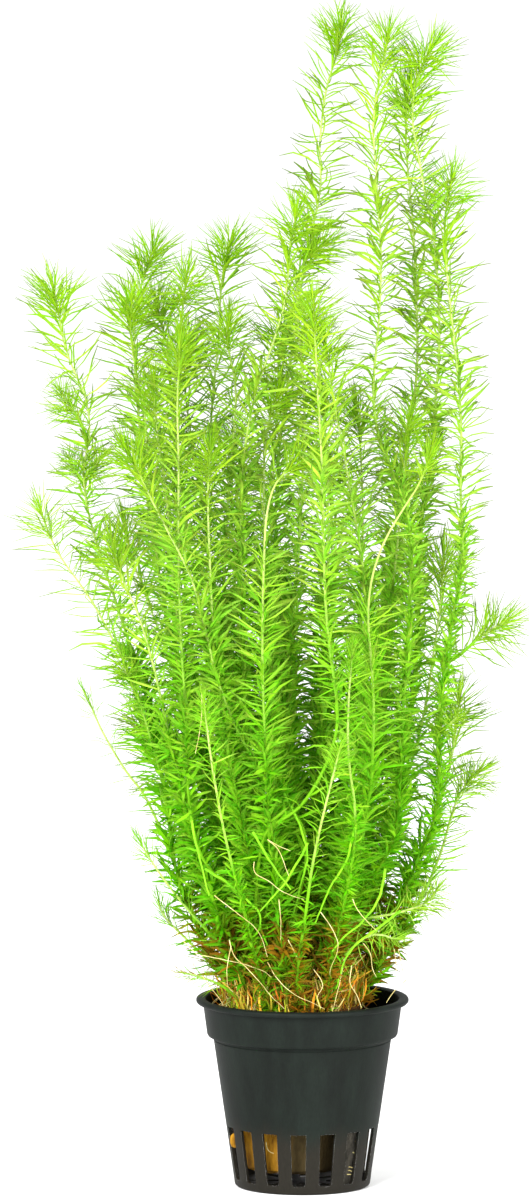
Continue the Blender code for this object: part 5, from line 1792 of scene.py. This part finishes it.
    def build(self) -> list[Object]:
        """Grow every shoot on its axis in place of its solid.

        Returns:
            The shoots.
        """
        tissue = self.tissue.make()
        tree = self.tree()
        pieces = []
        for number, (name, (route, dense)) in enumerate(self.routes().items()):
            whole = route_length(route)
            axis = resample(route, SAMPLE_STEP / 2)
            while len(axis) > 4 and route_length(axis[:-1]) > whole - min(self.crown, 0.4 * whole):
                axis.pop()
            length = route_length(axis)
            bare = self.bare_foot if name in SHOOTS else 0.15 * length
            in_tuft = self.tuft_leaves * self.tuft_pitch
            in_dense = max(0.0, dense * length - bare)
            in_open = max(0.0, length - bare - in_tuft - in_dense)
            in_near = min(in_open, self.near_leaves * self.near_pitch)
            opened = int(in_near / self.near_pitch + (in_open - in_near) / self.open_pitch)
            total = self.tuft_leaves + opened + int(in_dense / self.dense_pitch)
            low, high = BARE_STRETCHES.get(name, (0, 0))
            piece = grow(name + "_leafy", lines_mesh(name, [axis]), tree, {
                "Leaves": total, "Open leaves": opened, "Seed": number + 11, "Tissue": tissue,
                "Dense length": DENSE_LENGTHS[name] * MM if name in DENSE_LENGTHS else self.dense_length,
                "Leaf scale": LEAF_SCALES.get(name, 1.0), "Shed share": THINNED_SHOOTS.get(name, 0.0),
                "Least age": 0.5 if name in OLD_LEAVED_SHOOTS else 0.0,
                "Bare middle": (low + high) / 2 * MM, "Bare half": (high - low) / 2 * MM})
            pieces.append(attach(piece, Slot.FOLIAGE, name))
        return pieces


@dataclass
class Studio:
    """The pale floor, the soft light and the camera."""

    floor_size: float = 40.0
    lens: float = 582.0
    light: float = 1.04

    def build(self) -> None:
        """Make all three."""
        scene = bpy.context.scene
        scene.view_settings.view_transform = "Standard"
        world = bpy.data.worlds.new("studio_white")
        world.use_nodes = True
        shader = world.node_tree.nodes["Background"]
        shader.inputs["Color"].default_value = (1.0, 1.0, 1.0, 1.0)
        shader.inputs["Strength"].default_value = self.light
        scene.world = world
        self.add_floor()
        self.add_camera()
        self.add_lamp("key", Vector((-0.7, -1.2, 0.9)), 0.8, 42.0)
        self.add_lamp("fill", Vector((0.9, -1.1, 0.4)), 0.9, 25.0)

    def add_floor(self) -> None:
        """A wide floor of pale matt paint."""
        half = self.floor_size / 2
        mesh = bpy.data.meshes.new("floor")
        mesh.from_pydata([(-half, -half, 0), (half, -half, 0), (half, half, 0), (-half, half, 0)], [],
                         [(0, 1, 2, 3)])
        floor = place("floor", mesh)
        # Matt emulsion paint: white, with a soft shadow and no shine
        paint, tree = new_material("pale_floor_paint")
        face = add_node(tree, "BsdfPrincipled", {"Base Color": linear("#FFFFFF"), "Roughness": 0.9})
        add_node(tree, "OutputMaterial", {"Surface": face})
        mesh.materials.append(paint)

    def add_camera(self) -> None:
        """The camera: far off, a little above level, with a long lens."""
        data = bpy.data.cameras.new("camera")
        data.lens = self.lens
        data.sensor_width = 36.0
        data.clip_start = 0.05
        data.clip_end = 60.0
        camera = bpy.data.objects.new("camera", data)
        bpy.context.scene.collection.objects.link(camera)
        camera.location = AIM + Vector((0, -math.cos(CAMERA_RISE), math.sin(CAMERA_RISE))) * CAMERA_DISTANCE
        camera.rotation_euler = (AIM - camera.location).to_track_quat("-Z", "Y").to_euler()
        bpy.context.scene.camera = camera

    def add_lamp(self, name: str, spot: Vector, size: float, power: float) -> None:
        """A soft square lamp that looks at the plant.

        Args:
            name: The lamp's name.
            spot: Where it stands.
            size: Its side.
            power: Its power in watts.
        """
        data = bpy.data.lights.new(name, "AREA")
        data.size = size
        data.energy = power
        lamp = bpy.data.objects.new(name, data)
        bpy.context.scene.collection.objects.link(lamp)
        lamp.location = spot
        lamp.rotation_euler = (AIM - spot).to_track_quat("-Z", "Y").to_euler()


def main() -> None:
    """Build the pot, what fills it and the plant, then the studio."""
    logging.basicConfig(level=logging.INFO, format="%(message)s")
    NetPot().build()
    RockWoolPlug().build()
    RootFeltAndShade().build()
    OldGrowth().build()
    Roots().build()
    Bush().build()
    Studio().build()
    triangles = sum(len(p.vertices) - 2 for o in bpy.data.objects if o.type == "MESH" and o.users_collection
                    and not o.hide_render for p in o.data.polygons)
    log.info("triangles in all: %d", triangles)
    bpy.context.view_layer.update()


if __name__ == "__main__":
    main()
